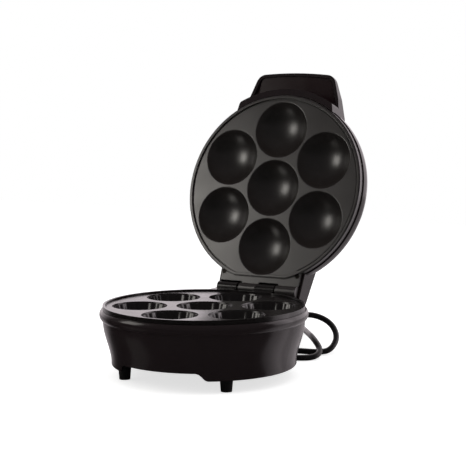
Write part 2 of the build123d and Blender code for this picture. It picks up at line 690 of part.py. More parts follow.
def lower_bake_plate():
    """Cast plate with seven cups, its rim, the hinge lugs and every boss under it."""
    plate = disc(LOWER_PLATE_R, FLANGE_Z, LOWER_FACE_Z)
    plate += disc(RIM_BORE_R - FIT, LOWER_WEB_Z, FLANGE_Z)
    plate += rim_band(LOWER_PLATE_R, RIM_WIDTH, 0, LOWER_FACE_Z, RIDGE_TOP_Z)
    groove_low = LOWER_FACE_Z - GROOVE_DEPTH
    plate -= rim_band(LOWER_PLATE_R, RIM_WIDTH + GROOVE_WIDTH, RIM_WIDTH, groove_low, RIDGE_TOP_Z)
    spans = knuckle_spans()[0::2]
    low, high = RIDGE_TOP_Z - LUG_THICK, RIDGE_TOP_Z
    lugs = [block(span, (CHORD_Y - LUG_ROOT, HINGE_Y), (low, high)) for span in spans]
    inside = extrude(Pos(0, 0, low - 1) * rim_plan(LOWER_PLATE_R, RIM_WIDTH / 2), LUG_THICK + 2)
    bores = [(span[0] - 1, span[1] + 1) for span in spans]
    barrel, holes = knuckles(spans, bores)
    plate += [lug - inside for lug in lugs] + barrel
    plate -= holes
    shell = cup_shell()
    plate += [Pos(*place) * shell for place in cup_places()]
    clamp_top = LOWER_ELEMENT_Z - ELEMENT_R - FIT
    pad_low = LOWER_ELEMENT_Z + ELEMENT_R + FIT / 3
    bosses = [disc(PLATE_BOSS_R, LEDGE_Z + SHEET, FLANGE_Z, at) for at in gap_places(PLATE_SCREW_R)]
    bosses += [disc(CLAMP_BOSS_R, clamp_top, FLANGE_Z, at) for at in gap_places(CLAMP_SCREW_CIRCLE)]
    bosses += [disc(PAD_R, pad_low, FLANGE_Z, at) for at in gap_places(ELEMENT_RING_R)]
    ear_low = CUP_UNDER_Z - STAT_CAP_H
    ears = [(-STAT_EAR, 0.0), (STAT_EAR, 0.0)]
    bosses += [disc(STAT_EAR_R, ear_low, CUP_UNDER_Z + 1, at) for at in ears]
    plate += bosses
    pilots = [pilot(at, LEDGE_Z, LEDGE_Z + SHEET + SCREW_BITE) for at in gap_places(PLATE_SCREW_R)]
    pilots += [pilot(at, clamp_top - 1, clamp_top + SCREW_BITE) for at in gap_places(CLAMP_SCREW_CIRCLE)]
    pilots += [pilot(at, ear_low - 1, CUP_UNDER_Z) for at in ears]
    plate -= pilots
    cavity = cup_cavity()
    plate -= [Pos(*place) * cavity for place in cup_places()]
    return plate


def plate_screws():
    """Screws through the housing ledges that hold the lower plate down on the housing."""
    tip = LEDGE_Z + SHEET + SCREW_BITE - FIT
    return [screw(at, LEDGE_Z - LEDGE_THICK, tip) for at in gap_places(PLATE_SCREW_R)]


def element(z):
    """Tubular heating element: a ring between the cups with two legs and their pins."""
    far = ELEMENT_RING_R + ELEMENT_BEND
    swing = degrees(asin(ELEMENT_BEND / far))
    leg_in = sqrt(far**2 - ELEMENT_BEND**2)
    right, left = ELEMENT_LEG_DEGS
    middle = (right + left) / 2
    path = Line(polar(ELEMENT_LEG_END, right), polar(leg_in, right))
    path += bend_arc(right, right - swing, leg_in, far)
    path += ThreePointArc(
        polar(ELEMENT_RING_R, right - swing),
        polar(ELEMENT_RING_R, middle + 180),
        polar(ELEMENT_RING_R, left + swing),
    )
    path += bend_arc(left, left + swing, leg_in, far)
    path += Line(polar(leg_in, left), polar(ELEMENT_LEG_END, left))
    start = Vector(*polar(ELEMENT_LEG_END, right), 0)
    inward = Vector(*polar(-1, right), 0)
    tube = sweep(Plane(origin=start, z_dir=inward) * Circle(ELEMENT_R), path=path)
    for angle in ELEMENT_LEG_DEGS:
        pin = Pos((ELEMENT_LEG_END + TERMINAL_LEN / 2), 0, 0) * Rot(0, 90, 0)
        tube += Rot(0, 0, angle) * pin * Cylinder(TERMINAL_R, TERMINAL_LEN)
    return Pos(0, 0, z) * tube


def bend_arc(leg_deg, centre_deg, leg_in, far):
    """Bend that joins a leg of the element to its ring."""
    centre = Vector(*polar(far, centre_deg))
    on_leg = Vector(*polar(leg_in, leg_deg))
    on_ring = Vector(*polar(ELEMENT_RING_R, centre_deg))
    half = ((on_leg - centre).normalized() + (on_ring - centre).normalized()).normalized()
    return ThreePointArc(on_leg, centre + half * ELEMENT_BEND, on_ring)


def clamps(low):
    """Flat strips that hold an element on its pads, one at each clamp screw."""
    strip = block(
        (CLAMP_INNER_R, CLAMP_SCREW_CIRCLE + CLAMP_HALF_W),
        (-CLAMP_HALF_W, CLAMP_HALF_W),
        (low, low + CLAMP_THICK),
    )
    strip -= disc(SCREW_HOLE_R, low - 1, low + CLAMP_THICK + 1, (CLAMP_SCREW_CIRCLE, 0))
    return [Rot(0, 0, angle) * strip for angle in GAP_DEGS]


def lower_clamp_screws():
    """Screws of the lower element's clamps."""
    seat = LOWER_ELEMENT_Z - ELEMENT_R - FIT - CLAMP_THICK
    tip = seat + CLAMP_THICK + SCREW_BITE - FIT
    return [screw(at, seat, tip) for at in gap_places(CLAMP_SCREW_CIRCLE)]


def reflector_pan():
    """Pressed steel pan under the lower element, clamped by its flange."""
    low, high = LEDGE_Z, LEDGE_Z + SHEET
    outline = Polyline(
        (STAT_PASS_R, PAN_FLOOR_Z),
        (PAN_FLOOR_R, PAN_FLOOR_Z),
        (PAN_MOUTH_R, low),
        (PAN_FLANGE_R, low),
        (PAN_FLANGE_R, high),
        (PAN_MOUTH_R - SHEET, high),
        (PAN_FLOOR_R - SHEET, PAN_FLOOR_Z + SHEET),
        (STAT_PASS_R, PAN_FLOOR_Z + SHEET),
        close=True,
    )
    pan = revolved(outline)
    for place in gap_places(PLATE_SCREW_R):
        pan -= disc(SCREW_HOLE_R, low - 1, high + 1, place)
    slot_half = ELEMENT_R + FIT
    notch_low = LOWER_ELEMENT_Z - ELEMENT_R - FIT
    notch = block((PAN_FLOOR_R - 4, PAN_FLANGE_R + 1), (-slot_half, slot_half), (notch_low, high + 1))
    for angle in ELEMENT_LEG_DEGS:
        pan -= Rot(0, 0, angle) * notch
    return pan


def thermostat(seat, way):
    """Disc thermostat with its cap on a seat, two ears and two tags, upward or downward."""
    cap = seat + way * STAT_CAP_H
    ear = cap + way * STAT_EAR_THICK
    back = ear + way * STAT_BODY_H
    tag = back + way * STAT_TAG_H
    ears = Pos(0, 0, min(cap, ear)) * SlotOverall(2 * (STAT_EAR + STAT_EAR_R), 2 * STAT_EAR_R)
    body = disc(STAT_R, *level(seat, cap)) + extrude(ears, STAT_EAR_THICK)
    body += disc(STAT_BODY_R, *level(ear, back))
    for x in (-STAT_TAG_X, STAT_TAG_X):
        body += block((x - TAG_THICK / 2, x + TAG_THICK / 2), (-TAG_W / 2, TAG_W / 2), level(back, tag))
    for x in (-STAT_EAR, STAT_EAR):
        low, high = level(cap, ear)
        body -= disc(SCREW_HOLE_R, low - 1, high + 1, (x, 0))
    return body


def thermostat_screws(seat, way):
    """Screws through the ears of a thermostat."""
    ear = seat + way * (STAT_CAP_H + STAT_EAR_THICK)
    tip = seat + way * FIT
    return [screw((x, 0), ear, tip) for x in (-STAT_EAR, STAT_EAR)]


def thermal_fuse():
    """Thermal fuse with its two wires, held under the pan."""
    z = PAN_FLOOR_Z - FIT - FUSE_R
    ends = (FUSE_X - FUSE_LEN / 2, FUSE_X + FUSE_LEN / 2)
    wires = (ends[0] - FUSE_LEN / 2, ends[1] + FUSE_LEN / 2)
    return along_x(FUSE_R, ends, FUSE_Y, z) + along_x(LEAD_R / 2, wires, FUSE_Y, z)


def fuse_clip():
    """Spring clip that holds the fuse to the pan."""
    z = PAN_FLOOR_Z - FIT - FUSE_R
    inner = FUSE_R + FIT
    span = (FUSE_X - CLIP_WIDTH / 2, FUSE_X + CLIP_WIDTH / 2)
    wide = inner + SHEET + CLIP_FOOT
    clip = along_x(inner + SHEET, span, FUSE_Y, z)
    clip += block(span, (FUSE_Y - wide, FUSE_Y + wide), (PAN_FLOOR_Z - SHEET, PAN_FLOOR_Z))
    clip -= along_x(inner, (span[0] - 1, span[1] + 1), FUSE_Y, z)
    clip -= block((span[0] - 1, span[1] + 1), (FUSE_Y - wide, FUSE_Y + wide), (PAN_FLOOR_Z, BIG))
    return clip - block((span[0] - 1, span[1] + 1), (FUSE_Y - inner, FUSE_Y + inner), (z, PAN_FLOOR_Z))


def block_sockets():
    """Places of the wire sockets along the terminal block."""
    return (BLOCK_X - BLOCK_SOCKET_X, BLOCK_X + BLOCK_SOCKET_X)


def terminal_block():
    """Moulded block on the bottom cover where the cord meets the inner leads."""
    base = COVER_TOP_Z
    x = (BLOCK_X - BLOCK_L / 2, BLOCK_X + BLOCK_L / 2)
    y = (BLOCK_Y - BLOCK_W / 2, BLOCK_Y + BLOCK_W / 2)
    body = block(x, y, (base, base + BLOCK_H))
    middle = (BLOCK_X - BLOCK_STEP_HALF, BLOCK_X + BLOCK_STEP_HALF)
    body -= block(middle, (y[0] - 1, y[1] + 1), (base + BLOCK_STEP_H, base + BLOCK_H + 1))
    body -= disc(SCREW_HOLE_R, base - 1, base + BLOCK_H, (BLOCK_X, BLOCK_Y))
    for socket in block_sockets():
        for side in y:
            hole = (side - BLOCK_SOCKET_DEPTH, side + BLOCK_SOCKET_DEPTH)
            body -= along_y(BLOCK_SOCKET_R, hole, socket, base + BLOCK_SOCKET_Z)
    return body


def terminal_screw():
    """Screw that holds the terminal block."""
    return screw((BLOCK_X, BLOCK_Y), COVER_TOP_Z + BLOCK_STEP_H, COVER_Z)


def hinge_pin():
    """Pin through the four knuckles, blind at its right end."""
    start = -BARREL_HALF + PIN_START_GAP
    return along_x(PIN_R, (start, BARREL_HALF - PIN_END_WALL - FIT), HINGE_Y, HINGE_Z)


def upper_bake_plate():
    """Cast plate with seven domes, its rim and side wall, the hinge arms and the bosses."""
    slab = Pos(0, 0, UPPER_FACE_Z) * rim_plan(UPPER_PLATE_R, 0)
    plate = extrude(slab, UPPER_FLANGE_Z - UPPER_FACE_Z)
    pocket = Pos(0, 0, UPPER_WEB_Z) * rim_plan(UPPER_PLATE_R, UPPER_FLANGE_WALL)
    plate -= extrude(pocket, UPPER_FLANGE_Z)
    inner = RIM_WIDTH + UPPER_RIM_STEP
    plate += rim_band(UPPER_PLATE_R, inner, 0, UPPER_RIDGE_Z + UPPER_RIM_STEP, UPPER_FACE_Z)
    plate += rim_band(UPPER_PLATE_R, inner, UPPER_RIM_STEP, UPPER_RIDGE_Z, UPPER_FACE_Z)
    groove = inner + GROOVE_WIDTH
    top = UPPER_FACE_Z + GROOVE_DEPTH
    plate -= rim_band(UPPER_PLATE_R, groove, inner, UPPER_FACE_Z - 1, top)
    plate += upper_tab()
    spans = knuckle_spans()[1::2]
    arms = [block(span, (TAB_Y - TAB_THICK, HINGE_Y), tab_level()) for span in spans]
    blind = BARREL_HALF - PIN_END_WALL
    bores = [(spans[0][0] - 1, spans[0][1] + 1), (spans[1][0] - 1, blind)]
    barrel, holes = knuckles(spans, bores)
    plate += arms + barrel
    plate -= holes + tab_holes()
    outer = Rot(90, 0, 0) * Sphere(DOME_R + DOME_WALL)
    caps = [Pos(x, y, DOME_CENTRE_Z) * outer for x, y in cup_places()]
    keep = disc(LOWER_PLATE_R, UPPER_FACE_Z, DOME_TOP_Z + 1)
    plate += [cap & keep for cap in caps]
    clamp_z = UPPER_ELEMENT_Z + ELEMENT_R + FIT
    pad_top = UPPER_ELEMENT_Z - ELEMENT_R - FIT / 3
    bosses = [disc(CLAMP_BOSS_R, UPPER_FACE_Z + 1, clamp_z, at) for at in gap_places(CLAMP_SCREW_CIRCLE)]
    bosses += [disc(PAD_R, UPPER_FACE_Z + 1, pad_top, at) for at in gap_places(ELEMENT_RING_R)]
    bosses += [disc(SHIELD_POST_R, UPPER_FACE_Z + 1, SHIELD_Z, at) for at in gap_places(SHIELD_POST_CIRCLE)]
    ears = [(-STAT_EAR, 0.0), (STAT_EAR, 0.0)]
    ear_seat = STAT_UPPER_Z + STAT_CAP_H
    bosses += [disc(STAT_EAR_R, DOME_CENTRE_Z, ear_seat, at) for at in ears]
    bosses += [disc(STAT_R + 1, DOME_CENTRE_Z, STAT_UPPER_Z)]
    plate += bosses
    pilots = [pilot(at, clamp_z - SCREW_BITE, clamp_z + 1) for at in gap_places(CLAMP_SCREW_CIRCLE)]
    pilots += [pilot(at, SHIELD_Z - SCREW_BITE, SHIELD_Z + 1) for at in gap_places(SHIELD_POST_CIRCLE)]
    pilots += [pilot(at, STAT_UPPER_Z, ear_seat + 1) for at in ears]
    plate -= pilots
    hollow = Pos(0, 0, DOME_CENTRE_Z) * Rot(90, 0, 0) * Sphere(DOME_R)
    bevel = Pos(0, 0, UPPER_FACE_Z + DOME_BEVEL / 2)
    bevel *= Cone(DOME_OPENING_R + DOME_BEVEL, DOME_OPENING_R - DOME_BEVEL / 2, DOME_BEVEL)
    plate -= [Pos(*place) * hollow for place in cup_places()]
    plate -= [Pos(*place) * bevel for place in cup_places()]
    tongue_y = (TONGUE_OUT_Y, -UPPER_PLATE_R + UPPER_FLANGE_WALL)
    return plate + block((-TONGUE_HALF, TONGUE_HALF), tongue_y, (TONGUE_Z, TONGUE_Z + TONGUE_THICK))


def tab_level():
    """Heights of the underside and the top of the hinge tab."""
    return (UPPER_FACE_Z, UPPER_FACE_Z + TAB_THICK)


def tab_screw_places():
    """Places of the two screws that hold the lid cover on the hinge tab."""
    return [(-TAB_SCREW_X, TAB_SCREW_Y), (TAB_SCREW_X, TAB_SCREW_Y)]


def upper_tab():
    """Hinge tab behind the upper plate with a cheek and a screw boss at each end."""
    low, high = tab_level()
    top = low + TAB_CHEEK_H
    tab = block((-TAB_HALF, TAB_HALF), (CHORD_Y - TAB_ROOT, TAB_Y), (low, high))
    for x in (-TAB_HALF, TAB_HALF - TAB_CHEEK):
        tab += block((x, x + TAB_CHEEK), (TAB_Y - TAB_CHEEK_L, TAB_Y), (low, top))
    for at in tab_screw_places():
        tab += disc(TAB_BOSS_R, low, top, at)
    return tab


def tab_holes():
    """Stepped holes for the two screws of the hinge tab."""
    low = UPPER_FACE_Z
    holes = []
    for at in tab_screw_places():
        holes.append(disc(SCREW_HOLE_R, low - 1, low + TAB_CHEEK_H + 1, at))
        holes.append(disc(SCREW_HEAD_R + FIT, low - 1, low + SCREW_HEAD_H + FIT, at))
    return holes


def tab_screws():
    """Screws from under the tab into the lid cover's pillars."""
    seat = UPPER_FACE_Z + SCREW_HEAD_H + FIT
    tip = UPPER_FACE_Z + TAB_CHEEK_H + SCREW_BITE - FIT
    return [screw(at, seat, tip) for at in tab_screw_places()]


def crown_radius(inset):
    """Radius of the lid's crown, which leaves the shoulder without a step."""
    edge_r, edge_z = shoulder_end(inset)
    rise = LID_CROWN_Z - inset - edge_z
    return (edge_r**2 + rise**2) / (2 * rise)


def shoulder_end(inset):
    """Radius and height where the lid's shoulder meets its crown."""
    bend = LID_SHOULDER_R - inset
    centre_r = LID_R - LID_SHOULDER_R
    turn = radians(LID_CROWN_DEG)
    return centre_r + bend * cos(turn), LID_SHOULDER_Z + bend * sin(turn)


def crown_height(radius, inset=0.0):
    """Height of the lid's crown at a radius."""
    ball = crown_radius(inset)
    return LID_CROWN_Z - inset - ball + sqrt(ball**2 - radius**2)


def shoulder_arcs(inset):
    """Shoulder and crown of the lid, from the side wall up to the axis."""
    bend = LID_SHOULDER_R - inset
    centre_r = LID_R - LID_SHOULDER_R
    half = radians(LID_CROWN_DEG / 2)
    side = (LID_R - inset, LID_SHOULDER_Z)
    middle = (centre_r + bend * cos(half), LID_SHOULDER_Z + bend * sin(half))
    edge = shoulder_end(inset)
    crown = (edge[0] / 2, crown_height(edge[0] / 2, inset))
    return [
        ThreePointArc(side, middle, edge),
        ThreePointArc(edge, crown, (0, LID_CROWN_Z - inset)),
    ]


def lid_dome():
    """Solid dome of the lid out to its side wall."""
    outline = shoulder_arcs(0)
    outline += [
        Polyline((0, LID_CROWN_Z), (0, LID_LOW_Z), (LID_R, LID_LOW_Z), (LID_R, LID_SHOULDER_Z))
    ]
    return revolved(outline)


def lid_hollow():
    """Hollow inside of the lid above its ledge ring."""
    ledge_in = UPPER_PLATE_R - UPPER_FLANGE_WALL
    outline = shoulder_arcs(LID_WALL)
    outline += [
        Polyline(
            (0, LID_CROWN_Z - LID_WALL),
            (0, UPPER_FLANGE_Z - 1),
            (ledge_in, UPPER_FLANGE_Z - 1),
            (ledge_in, LID_SHOULDER_Z - LID_WALL),
            (LID_R - LID_WALL, LID_SHOULDER_Z),
        )
    ]
    return revolved(outline)


def handle_plan(inset):
    """Outline of the handle hood from above, drawn in by an inset."""
    front = ThreePointArc(
        (-HANDLE_HALF, HANDLE_CORNER_Y), (0, HANDLE_FRONT_Y), (HANDLE_HALF, HANDLE_CORNER_Y)
    )
    sides = Polyline(
        (HANDLE_HALF, HANDLE_CORNER_Y),
        (HANDLE_MID_HALF, HANDLE_MID_Y),
        (HANDLE_ROOT_HALF, HANDLE_ROOT_Y),
        (HANDLE_FADE_HALF, HANDLE_FADE_Y),
        (-HANDLE_FADE_HALF, HANDLE_FADE_Y),
        (-HANDLE_ROOT_HALF, HANDLE_ROOT_Y),
        (-HANDLE_MID_HALF, HANDLE_MID_Y),
        (-HANDLE_HALF, HANDLE_CORNER_Y),
    )
    plan = make_face([front, sides])
    plan = fillet(plan.vertices().sort_by(Axis.Y)[0:2], HANDLE_CORNER_R)
    return offset(plan, -inset) if inset else plan


def handle_hood(inset, drop):
    """Handle hood as a solid, drawn in at its sides and lowered at its top."""
    top = [
        (HANDLE_FRONT_Y - 1, HANDLE_EDGE_Z - drop),
        (HANDLE_ROOT_Y, HANDLE_ROOT_TOP_Z - drop),
        (HANDLE_FADE_Y, HANDLE_FADE_Z - drop),
    ]
    low = HANDLE_UNDER_Z
    sides = side_profile([(HANDLE_FRONT_Y - 1, low)] + top + [(HANDLE_FADE_Y, low)])
    return extrude(handle_plan(inset), BIG / 2) & sides


def crescent():
    """Curved wall under the handle that closes the front of the lid."""
    ring = Circle(CRESCENT_R) - Circle(CRESCENT_IN_R)
    plan = ring & (handle_plan(0) - Pos(0, BIG / 2 + HANDLE_FADE_Y) * Rectangle(BIG, BIG))
    outer = [v for v in plan.vertices() if v.center().length > CRESCENT_R - 1]
    plan = fillet(outer, CRESCENT_CORNER)
    return extrude(Pos(0, 0, CRESCENT_Z) * plan, CRESCENT_TOP_Z - CRESCENT_Z)


def tail_plan(inset):
    """Outline of the tail hood from above, drawn in by an inset."""
    half = [
        (TAIL_FADE_HALF, TAIL_FADE_Y),
        (TAIL_ROOT_HALF, TAIL_ROOT_Y),
        (TAIL_END_HALF, TAIL_END_Y),
    ]
    plan = make_face(Polyline(*half, *[(-x, y) for x, y in reversed(half)], close=True))
    plan = fillet(plan.vertices().sort_by(Axis.Y)[-2:], TAIL_CORNER_R)
    return offset(plan, -inset) if inset else plan


def tail_hood(inset, drop, low_extra=0.0):
    """Tail hood as a solid, drawn in at its sides and lowered at its top."""
    fall = (TAIL_END_Y - TAIL_ROOT_Y) * tan(radians(TAIL_SLOPE_DEG))
    slope = (TAIL_LOW_END_Z - TAIL_LOW_ROOT_Z) / (TAIL_END_Y - TAIL_ROOT_Y)
    fade_low = TAIL_LOW_ROOT_Z - slope * (TAIL_ROOT_Y - TAIL_FADE_Y)
    sides = side_profile([
        (TAIL_FADE_Y, fade_low - low_extra),
        (TAIL_END_Y, TAIL_LOW_END_Z - low_extra),
        (TAIL_END_Y, TAIL_ROOT_TOP_Z - fall - drop),
        (TAIL_ROOT_Y, TAIL_ROOT_TOP_Z - drop),
        (TAIL_FADE_Y, TAIL_FADE_Z - drop),
    ])
    return extrude(tail_plan(inset), BIG / 2) & sides


def lid_cover():
    """Moulded lid: a shallow dome with the handle hood in front and the tail hood behind."""
    dome = lid_dome()
    tail = tail_hood(0, 0) - disc(CRESCENT_IN_R, 0, LID_LOW_Z)
    outside = dome + handle_hood(0, 0) + tail
    ledge = disc(LID_LEDGE_R, UPPER_FLANGE_Z, LID_LOW_Z, bore=UPPER_PLATE_R - UPPER_FLANGE_WALL)
    cover = outside + ledge
    cover -= lid_hollow()
    hood = handle_hood(LID_WALL, LID_WALL)
    cover -= hood & disc(CRESCENT_IN_R, LID_SHOULDER_Z, BIG / 2)
    cover -= hood & disc(BIG, CRESCENT_TOP_Z, BIG / 2)
    pocket = handle_hood(HANDLE_RIM, LID_WALL)
    cover -= pocket - disc(CRESCENT_R, 0, BIG / 2)
    cover -= tail_hood(LID_WALL, LID_WALL, LID_WALL) - dome
    cover += crescent()
    for at in tab_screw_places():
        cover += disc(PILLAR_LID_R, tab_top(), tab_top() + PILLAR_LID_H, at) & outside
    for at in tab_screw_places():
        cover -= disc(TAB_BOSS_R + FIT, 0, tab_top(), at)
        cover -= pilot(at, tab_top() - 1, tab_top() + SCREW_BITE)
    slot_y = (TONGUE_OUT_Y - FIT, -CRESCENT_IN_R + 1)
    slot_z = (TONGUE_Z - FIT, TONGUE_Z + TONGUE_THICK + FIT)
    cover -= block((-TONGUE_HALF - FIT, TONGUE_HALF + FIT), slot_y, slot_z)
    for x in (-LAMP_X, LAMP_X):
        face = crown_height(sqrt(x**2 + LAMP_Y**2))
        cover -= disc(LENS_R + FIT / 2, UPPER_FACE_Z, BIG / 2, (x, LAMP_Y))
        cover -= disc(LENS_FLANGE_R + FIT / 2, face, BIG / 2, (x, LAMP_Y))
    return cover


def tab_top():
    """Height of the screw bosses and cheeks of the hinge tab."""
    return UPPER_FACE_Z + TAB_CHEEK_H


def handle_underside():
    """Curved panel that closes the handle hood from below."""
    points = [
        (HANDLE_FRONT_Y + HANDLE_RIM - 1, PANEL_FRONT_Z),
        (PANEL_BEND_Y, PANEL_BEND_Z),
        (HANDLE_ROOT_Y - 5, PANEL_ROOT_Z),
    ]
    lower = Spline(*points)
    upper = Spline(*[(y, z + PANEL_THICK) for y, z in points])
    ends = [Line(lower @ 0, upper @ 0), Line(lower @ 1, upper @ 1)]
    sides = extrude(Plane.YZ * make_face([lower, upper] + ends), BIG / 2, both=True)
    panel = extrude(handle_plan(HANDLE_RIM + PANEL_GAP), BIG / 2) & sides
    panel &= handle_hood(HANDLE_RIM + PANEL_GAP, LID_WALL + PANEL_GAP)
    return panel - disc(CRESCENT_R + PANEL_GAP, 0, BIG / 2)


def heat_shield():
    """Flat sheet shield over the upper element."""
    shield = disc(SHIELD_R, SHIELD_Z, SHIELD_Z + SHEET, bore=STAT_PASS_R)
    for place in gap_places(SHIELD_POST_CIRCLE):
        shield -= disc(SCREW_HOLE_R, SHIELD_Z - 1, SHIELD_Z + 2, place)
    half = ELEMENT_R + FIT
    notch = block((SHIELD_R - SHIELD_NOTCH, SHIELD_R + 1), (-half, half), (SHIELD_Z - 1, SHIELD_Z + 2))
    for angle in ELEMENT_LEG_DEGS:
        shield -= Rot(0, 0, angle) * notch
    return shield


def lid_screws(circle, seat):
    """Screws from above at the fixing points of a circle."""
    return [screw(at, seat, seat - SCREW_BITE) for at in gap_places(circle)]


def lens(x):
    """Clear cap of a lamp, set in the lid from outside."""
    face = crown_height(sqrt(x**2 + LAMP_Y**2))
    cap = disc(LENS_FLANGE_R, face, face + LENS_TOP, (x, LAMP_Y))
    cap += disc(LENS_R, face - LENS_DEPTH, face, (x, LAMP_Y))
    cap = fillet(cap.edges().group_by(Axis.Z)[-1], LENS_TOP / 2)
    return cap - disc(LENS_R - LENS_WALL, face - LENS_DEPTH - 1, face, (x, LAMP_Y))


def lamp(x):
    """Small lamp inside a lens, standing on the heat shield's side of it."""
    face = crown_height(sqrt(x**2 + LAMP_Y**2))
    top = face - FIT
    body = disc(LAMP_R, top - LAMP_LEN, top, (x, LAMP_Y))
    body = fillet(body.edges().group_by(Axis.Z)[-1], LAMP_R / 2)
    for shift in (-LAMP_R / 2, LAMP_R / 2):
        body += disc(LEAD_R / 3, SHIELD_Z + SHEET, top - LAMP_LEN, (x + shift, LAMP_Y))
    return body


def tube(points, radius, corner_radii):
    """Round tube along straight runs joined by tangent arcs."""
    path = FilletPolyline(*points, radius=corner_radii)
    section = Plane(origin=path @ 0, z_dir=path % 0) * Circle(radius)
    return sweep(section, path=path), path.length


def corner_radii(points):
    """Radius of each corner of a route, 0.45 of its shorter run over the tangent of half its turn."""
    radii = []
    for before, corner, after in zip(points, points[1:], points[2:]):
        first = Vector(*corner) - Vector(*before)
        second = Vector(*after) - Vector(*corner)
        half_turn = radians(first.get_angle(second)) / 2
        radii.append(0.45 * min(first.length, second.length) / tan(half_turn))
    return radii


def cord_bush():
    """Tapered strain relief with a collar inside the wall, a flange outside and grooves."""
    face = BUSH_FACE_Y
    inner = face - BUSH_SEAT_DEPTH - FIT
    tip = face + BUSH_LEN
    shoulder = face + BUSH_FLANGE
    outline = Polyline(
        (0, inner - BUSH_COLLAR),
        (BUSH_COLLAR_R, inner - BUSH_COLLAR),
        (BUSH_COLLAR_R, inner),
        (BUSH_NECK_R, inner),
        (BUSH_NECK_R, face),
        (BUSH_FLANGE_R, face),
        (BUSH_FLANGE_R, shoulder),
        (BUSH_SHOULDER_R, shoulder),
        (BUSH_TIP_R, tip),
        (0, tip),
        close=True,
    )
    bush = revolve(make_face(outline), Axis.Y)
    taper = (BUSH_SHOULDER_R - BUSH_TIP_R) / (tip - shoulder)
    for k in range(BUSH_GROOVES):
        y = shoulder + (k + 1) * BUSH_GROOVE_PITCH
        floor = BUSH_SHOULDER_R - taper * (y - shoulder) - BUSH_GROOVE_DEPTH
        ring = along_y(BIG / 10, (y, y + BUSH_GROOVE_W), 0, 0)
        bush -= ring - along_y(floor, (y - 1, y + BUSH_GROOVE_W + 1), 0, 0)
    return Pos(CORD_EXIT_X, 0, CORD_EXIT_Z) * bush


def plug_frame():
    """Plane at the end of the cord, looking along the plug."""
    end, before = Vector(*CORD_POINTS[-1]), Vector(*CORD_POINTS[-2])
    ahead = Vector(end.X - before.X, end.Y - before.Y, 0)
    side = Vector(-ahead.Y, ahead.X, 0)
    return Plane(origin=end, x_dir=side, z_dir=end - before)


def plug_body():
    """Moulded plug with a tapered neck."""
    neck = Pos(0, 0, PLUG_TAIL_LEN / 2) * Cone(PLUG_TAIL_END_R, PLUG_TAIL_R, PLUG_TAIL_LEN)
    body = Box(PLUG_WIDTH, PLUG_HEIGHT, PLUG_BODY_LEN)
    body = fillet(body.edges().filter_by(Axis.Z), PLUG_ROUND)
    body = fillet(body.faces().sort_by(Axis.Z)[0].edges(), PLUG_ROUND / 2)
    plug = neck + Pos(0, 0, PLUG_TAIL_LEN + PLUG_BODY_LEN / 2) * body
    return plug_frame() * plug


def plug_pins():
    """Two flat pins of the plug."""
    start = PLUG_TAIL_LEN + PLUG_BODY_LEN
    pins = []
    for x in (-PLUG_PIN_GAP / 2, PLUG_PIN_GAP / 2):
        pin = Box(PLUG_PIN_T, PLUG_PIN_W, PLUG_PIN_LEN)
        pins.append(plug_frame() * Pos(x, 0, start + PLUG_PIN_LEN / 2) * pin)
    return pins


def opened(solids):
    """Solids of the lid turned open about the hinge."""
    axis = Axis((0, HINGE_Y, HINGE_Z), (1, 0, 0))
    return [solid.rotate(axis, -OPEN_DEG) for solid in solids]


def as_list(piece):
    """Solids of a piece as a list, whether it is one solid or several."""
    return list(piece) if isinstance(piece, list) else [piece]


CORD_POINTS = [
    (12, 147, 41),
    (12, 165, 41),
    (20, 187, 44),
    (37, 207, 43),
    (58, 211, 33.5),
    (73, 198, 19),
    (72, 180, 5.5),
    (60, 171, 3.6),
    (38, 167.5, 3.6),
    (12, 165, 3.6),
    (-15, 173, 3.6),
    (-42, 195, 3.6),
    (-68, 226, 3.6),
    (-90, 255, 3.6),
    (-105, 291, 3.6),
    (-96, 319, 3.6),
    (-72, 334, 3.6),
    (-46, 328, 3.6),
    (-26, 300, 4.5),
    (-8, 262, 13),
    (10, 227, 20.5),
    (32, 195.5, 22),
    (55, 168, 20.5),
    (72, 154.5, 9.5),
    (71, 139.5, 3.6),
    (55, 126, 3.6),
    (32, 125, 3.6),
    (8, 131, 3.6),
    (-16, 134.5, 5.5),
    (-40, 137, 7.6),
]


def lead_up(angle, low, low_r, high):
    """Upper end of a lead that rises outside the pan to a pin of the element."""
    pin_r = ELEMENT_LEG_END + TERMINAL_LEN + LEAD_GAP + LEAD_R
    return [
        (*polar(low_r, angle), low),
        (*polar(pin_r, angle), high - 2 * ELEMENT_R),
        (*polar(pin_r, angle), high + LEAD_R),
    ]


def leads(routes):
    """Insulated wires along their routes."""
    return [tube(route, LEAD_R, [2 * LEAD_R] * (len(route) - 2))[0] for route in routes]


